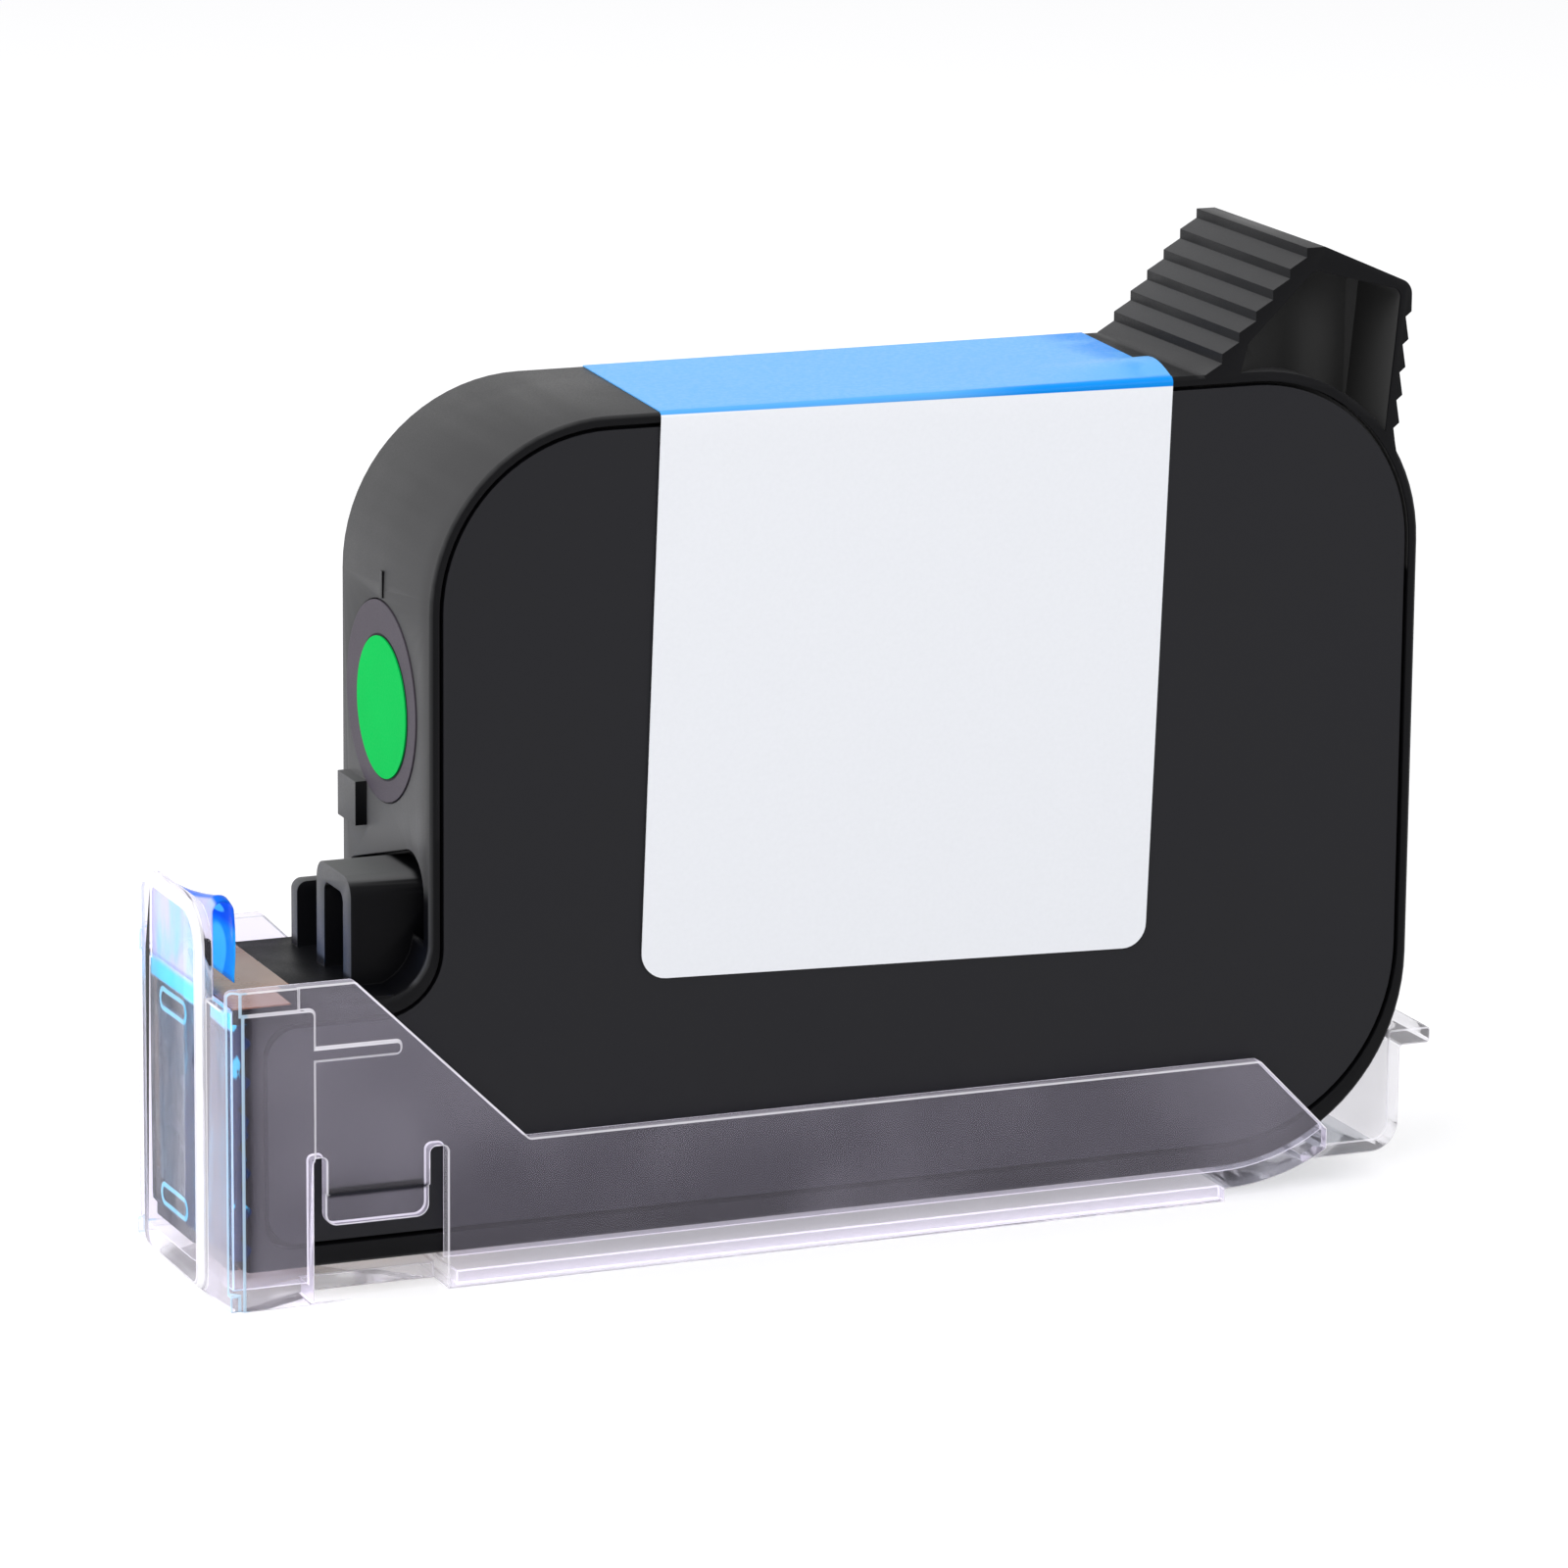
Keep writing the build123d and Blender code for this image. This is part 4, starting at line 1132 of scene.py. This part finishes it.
@dataclass
class NozzleTape:
    """Blue film stuck over the nozzles, with its folded pull tab.

    Sizes are in millimetres.
    """

    face_x: float = -15.8
    thickness: float = 0.06
    foot_z: float = 3.6
    bend_z: float = 23.3
    far_y: float = 8.6
    lap_y: float = -10.06
    lap_x: float = -14.9
    lap_top: float = 22.1
    tab_far_y: float = 8.1
    tab_near_y: float = -5.4
    top_far: float = 29.0
    top_near: float = 31.0
    fold: float = 0.85
    tab_foot: float = 24.1
    corner: float = 0.35
    nose_steps: int = 36
    lap_steps: int = 6
    rows: int = 64
    rise_steps: int = 14
    fold_steps: int = 12
    tab_rows: int = 40
    ragged: Span = (0.32, 0.22)
    lap_wave: float = 0.03
    ripple: float = 0.025
    top_curve: float = 1.6
    droop: float = 0.5
    droop_from: float = 0.93
    stand_off: Span = (0.12, 0.14)
    finish: TapeFilm = field(default_factory=TapeFilm)

    def front(self) -> Rows:
        """Rows of the film over the nose and of its lap round the near side."""
        bend_x = self.face_x + self.corner
        nose = self.far_y - (self.lap_y + self.corner)
        path = [(self.face_x, self.far_y - nose * share) for share in shares(self.nose_steps)]
        for inward, run in arc(self.lap_steps)[1:]:
            y = self.lap_y + self.corner * (1 - run)
            path.append((self.face_x + self.corner * inward, y))
        reach = self.lap_x - bend_x
        path += [(bend_x + reach * share, self.lap_y) for share in shares(self.lap_steps)[1:]]
        lap_start = self.nose_steps + self.lap_steps
        coarse, fine = self.ragged
        rows = []
        for part in shares(self.rows):
            z = self.foot_z + (self.bend_z - self.foot_z) * part
            row = []
            for i, (x, y) in enumerate(path):
                if i > lap_start:
                    share = (i - lap_start) / self.lap_steps
                    x += share * (coarse * math.sin(z * 1.9) + fine * math.sin(z * 4.3 + 1))
                    y = self.lap_y - self.lap_wave * math.sin(z * 2.3) * share
                elif i <= self.nose_steps:
                    x += self.ripple * math.sin(z * 0.9 + y * 0.7) * math.sin(y * 0.8)
                height = min(z, self.lap_top) if i > self.nose_steps else z
                row.append(Vector((x, y, height)))
            rows.append(row)
        return rows

    def profile(self, top: float, bulge: float) -> list[Span]:
        """Side view of the tab: up from the bend, over, and back down.

        Args:
            top: Height of the fold.
            bulge: How far the hanging flap stands off.

        Returns:
            Points in x and z, in millimetres.
        """
        rise = top - self.fold
        height = rise - self.bend_z
        path = [(self.face_x, self.bend_z + height * part) for part in shares(self.rise_steps)]
        for inward, up in arc(self.fold_steps, math.pi)[1:]:
            path.append((self.face_x + self.fold * inward, rise + self.fold * up))
        for share in shares(self.fold_steps)[1:]:
            out = bulge * math.sin(math.pi * min(1.0, share * 1.1))
            path.append((self.face_x + 2 * self.fold + out, rise + (self.tab_foot - rise) * share))
        return path

    def tab(self) -> Rows:
        """Rows of the pull tab, whose fold rises towards the near end."""
        rows = []
        for share in shares(self.tab_rows):
            y = self.tab_far_y + (self.tab_near_y - self.tab_far_y) * share
            top = self.top_far + (self.top_near - self.top_far) * share**self.top_curve
            top -= self.droop * max(0.0, share - self.droop_from) / (1 - self.droop_from)
            bulge = self.stand_off[0] + self.stand_off[1] * math.sin(share * 9 + 0.5)
            rows.append([Vector((x, y, z)) for x, z in self.profile(top, bulge)])
        return rows

    def build(self) -> None:
        """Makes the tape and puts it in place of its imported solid."""
        tape = thin_sheet("peel_tape", self.thickness, 0, self.front(), self.tab())
        place(tape, self.finish.make(), Body.CARTRIDGE, "tape_blue")
        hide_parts("nozzle_tape")


class ClipZone(IntEnum):
    """Material slots of the clip; rims, glints and the rounded edges, with one of their own, paint
    highlights.
    """

    FACE = 0
    RIM = 1
    EDGE = 2
    GLINT = 3
    FLOOR = 4
    PANE = 5
    STRAP = 6


@dataclass
class ShippingClip:
    """The clear clip, whose rims and rounded edges take whiter copies of its plastic as painted
    highlights.

    Sizes are in millimetres. The finishes stand in the order of ClipZone.
    """

    edge: float = 0.13
    sharp: float = 28.0
    wall_y: float = 10.1
    head_x: float = -15.9
    side_x: float = -16.2
    plate_x: float = -17.2
    strap_x: Span = (65.0, 78.0)
    # Rims, rounded edges and glints take whiter, less clear copies of the plastic: painted
    # highlights.
    finishes: tuple[ClearPlastic, ...] = (
        ClearPlastic(),
        ClearPlastic("clip_rims", clear=0.72, roughness=0.05),
        ClearPlastic(
            "clip_edges", (0.96, 0.94, 1.0, 1.0), clear=0.4, roughness=0.1, film_reflection_share=0.8
        ),
        ClearPlastic("clip_glints", (1.0, 0.99, 1.0, 1.0), clear=0.1, roughness=0.2),
        ClearPlastic("clip_floor", (0.95, 0.94, 0.97, 1.0), clear=0.82),
        ClearPlastic("clip_pane", (0.94, 0.93, 0.98, 1.0), clear=0.985, gloss=0.04),
        ClearPlastic("clip_strap", (0.62, 0.64, 0.68, 1.0), clear=0.7),
    )

    def zone_of(self, centre: Vector, normal: Vector) -> ClipZone:
        """Which zone a face belongs to.

        Args:
            centre: Middle of the face, in metres.
            normal: Its outward normal.

        Returns:
            The zone, which is also the face's material slot.
        """
        x, across = centre.x / MM, abs(normal.x)
        if abs(centre.y) > self.wall_y * MM:
            return ClipZone.RIM if abs(normal.y) < 0.5 else ClipZone.FACE
        if x >= self.head_x:
            low, high = self.strap_x
            return ClipZone.STRAP if low < x < high else ClipZone.FLOOR
        if across > 0.9:
            return ClipZone.RIM if self.plate_x < x < self.side_x else ClipZone.PANE
        if across > 0.3:
            return ClipZone.GLINT
        return ClipZone.RIM if normal.z > 0.3 else ClipZone.FACE

    def build(self) -> None:
        """Makes and dresses the clip."""
        clip = merged_copy("protective_clip", "clear_clip")
        for finish in self.finishes:
            clip.data.materials.append(finish.make())
        for face in clip.data.polygons:
            face.material_index = self.zone_of(face.center, face.normal)
        round_edges(clip, self.edge, self.sharp, ClipZone.EDGE)
        keep_inside(clip, "protective_clip")
        place(clip, None, Body.CLIP, "clip_clear")
        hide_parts("protective_clip")


@dataclass(frozen=True)
class SoftBox:
    """A rectangular studio lamp; place and size in metres, power in watts."""

    name: str
    place: tuple[float, float, float]
    size: tuple[float, float]
    power: float

    def build(self, aim: Vector) -> None:
        """Adds the lamp, turned to the aim."""
        data = bpy.data.lights.new(self.name, "AREA")
        data.shape = "RECTANGLE"
        data.size, data.size_y = self.size
        data.energy = self.power
        lamp = bpy.data.objects.new(self.name, data)
        lamp.location = self.place
        lamp.rotation_euler = (aim - Vector(self.place)).to_track_quat("-Z", "Y").to_euler()
        bpy.context.scene.collection.objects.link(lamp)


@dataclass
class Studio:
    """Pale floor, white surroundings, soft lamps and the camera."""

    aim: tuple[float, float, float] = (28.814, -10.0, 36.987)
    azimuth: float = -22.6
    elevation: float = 13.54
    roll: float = 0.52
    distance: float = 601.0
    lens: float = 180.0
    sky: float = 0.62
    floor_colour: Colour = (0.55, 0.55, 0.56, 1.0)
    floor_glow: float = 0.5
    floor_radius: float = 4.0
    floor_gap: float = 0.1
    lamps: tuple[SoftBox, ...] = (
        SoftBox("key", (-0.55, -0.35, 0.62), (0.5, 0.5), 3.2),
        SoftBox("fill", (0.55, -0.75, 0.45), (0.6, 0.5), 2.6),
        SoftBox("top", (0.05, 0.1, 0.85), (0.6, 0.6), 2.2),
        SoftBox("left", (-0.8, 0.15, 0.12), (0.5, 0.4), 5.0),
    )

    def surroundings(self) -> None:
        """White world that lights the object at a lower level than it shows."""
        world = bpy.data.worlds.new("surroundings")
        world.use_nodes = True
        maker = NodeMaker(world.node_tree)
        back = next(node for node in maker.tree.nodes if node.type == "BACKGROUND")
        back.inputs["Color"].default_value = WHITE
        level = maker.out("ShaderNodeMapRange", {0: maker.seen(), 3: self.sky})
        maker.tree.links.new(level, back.inputs["Strength"])
        bpy.context.scene.world = world

    def floor(self) -> None:
        """Round pale floor just under the clip."""
        bm = bmesh.new()
        bmesh.ops.create_circle(bm, cap_ends=True, radius=self.floor_radius, segments=96)
        bmesh.ops.translate(bm, verts=bm.verts, vec=(0, 0, -self.floor_gap * MM))
        floor = new_piece("floor", bm, smooth=False)
        g = Graph("floor_paint")
        lit_matt = g.out("ShaderNodeBsdfDiffuse", {"Color": self.floor_colour})
        level = g.math("MULTIPLY", g.seen(), self.floor_glow)
        glow = g.out("ShaderNodeEmission", {"Color": WHITE, "Strength": level})
        both = g.out("ShaderNodeAddShader", {0: lit_matt, 1: glow})
        floor.data.materials.append(g.finished(both))

    def camera(self) -> None:
        """Long-lens camera, turned and rolled as the view asks."""
        turn = math.radians(self.azimuth)
        tilt = math.radians(self.elevation)
        level = math.cos(tilt)
        back = Vector((math.sin(turn) * level, -math.cos(turn) * level, math.sin(tilt)))
        right = Vector((math.cos(turn), math.sin(turn), 0))
        up = back.cross(right)
        spin = math.radians(self.roll)
        rolled_right = math.cos(spin) * right + math.sin(spin) * up
        rolled_up = math.cos(spin) * up - math.sin(spin) * right
        data = bpy.data.cameras.new("view")
        data.lens = self.lens
        data.sensor_width = 36.0
        data.clip_start = 0.01
        camera = bpy.data.objects.new("view", data)
        place_at = (Vector(self.aim) + back * self.distance) * MM
        turned = Matrix((rolled_right, rolled_up, back)).transposed().to_4x4()
        camera.matrix_world = Matrix.Translation(place_at) @ turned
        bpy.context.scene.collection.objects.link(camera)
        bpy.context.scene.camera = camera

    def build(self) -> None:
        """Sets up the whole studio."""
        self.camera()
        self.surroundings()
        self.floor()
        for lamp in self.lamps:
            lamp.build(Vector(self.aim) * MM)
        bpy.context.scene.view_settings.view_transform = "Standard"


def main() -> None:
    """Builds every sub-assembly in order."""
    for kind in (Studio, Housing, InkBag, PrintHead, WrapLabel, NozzleTape, ShippingClip):
        log.info("building %s", kind.__name__)
        kind().build()


if __name__ == "__main__":
    main()
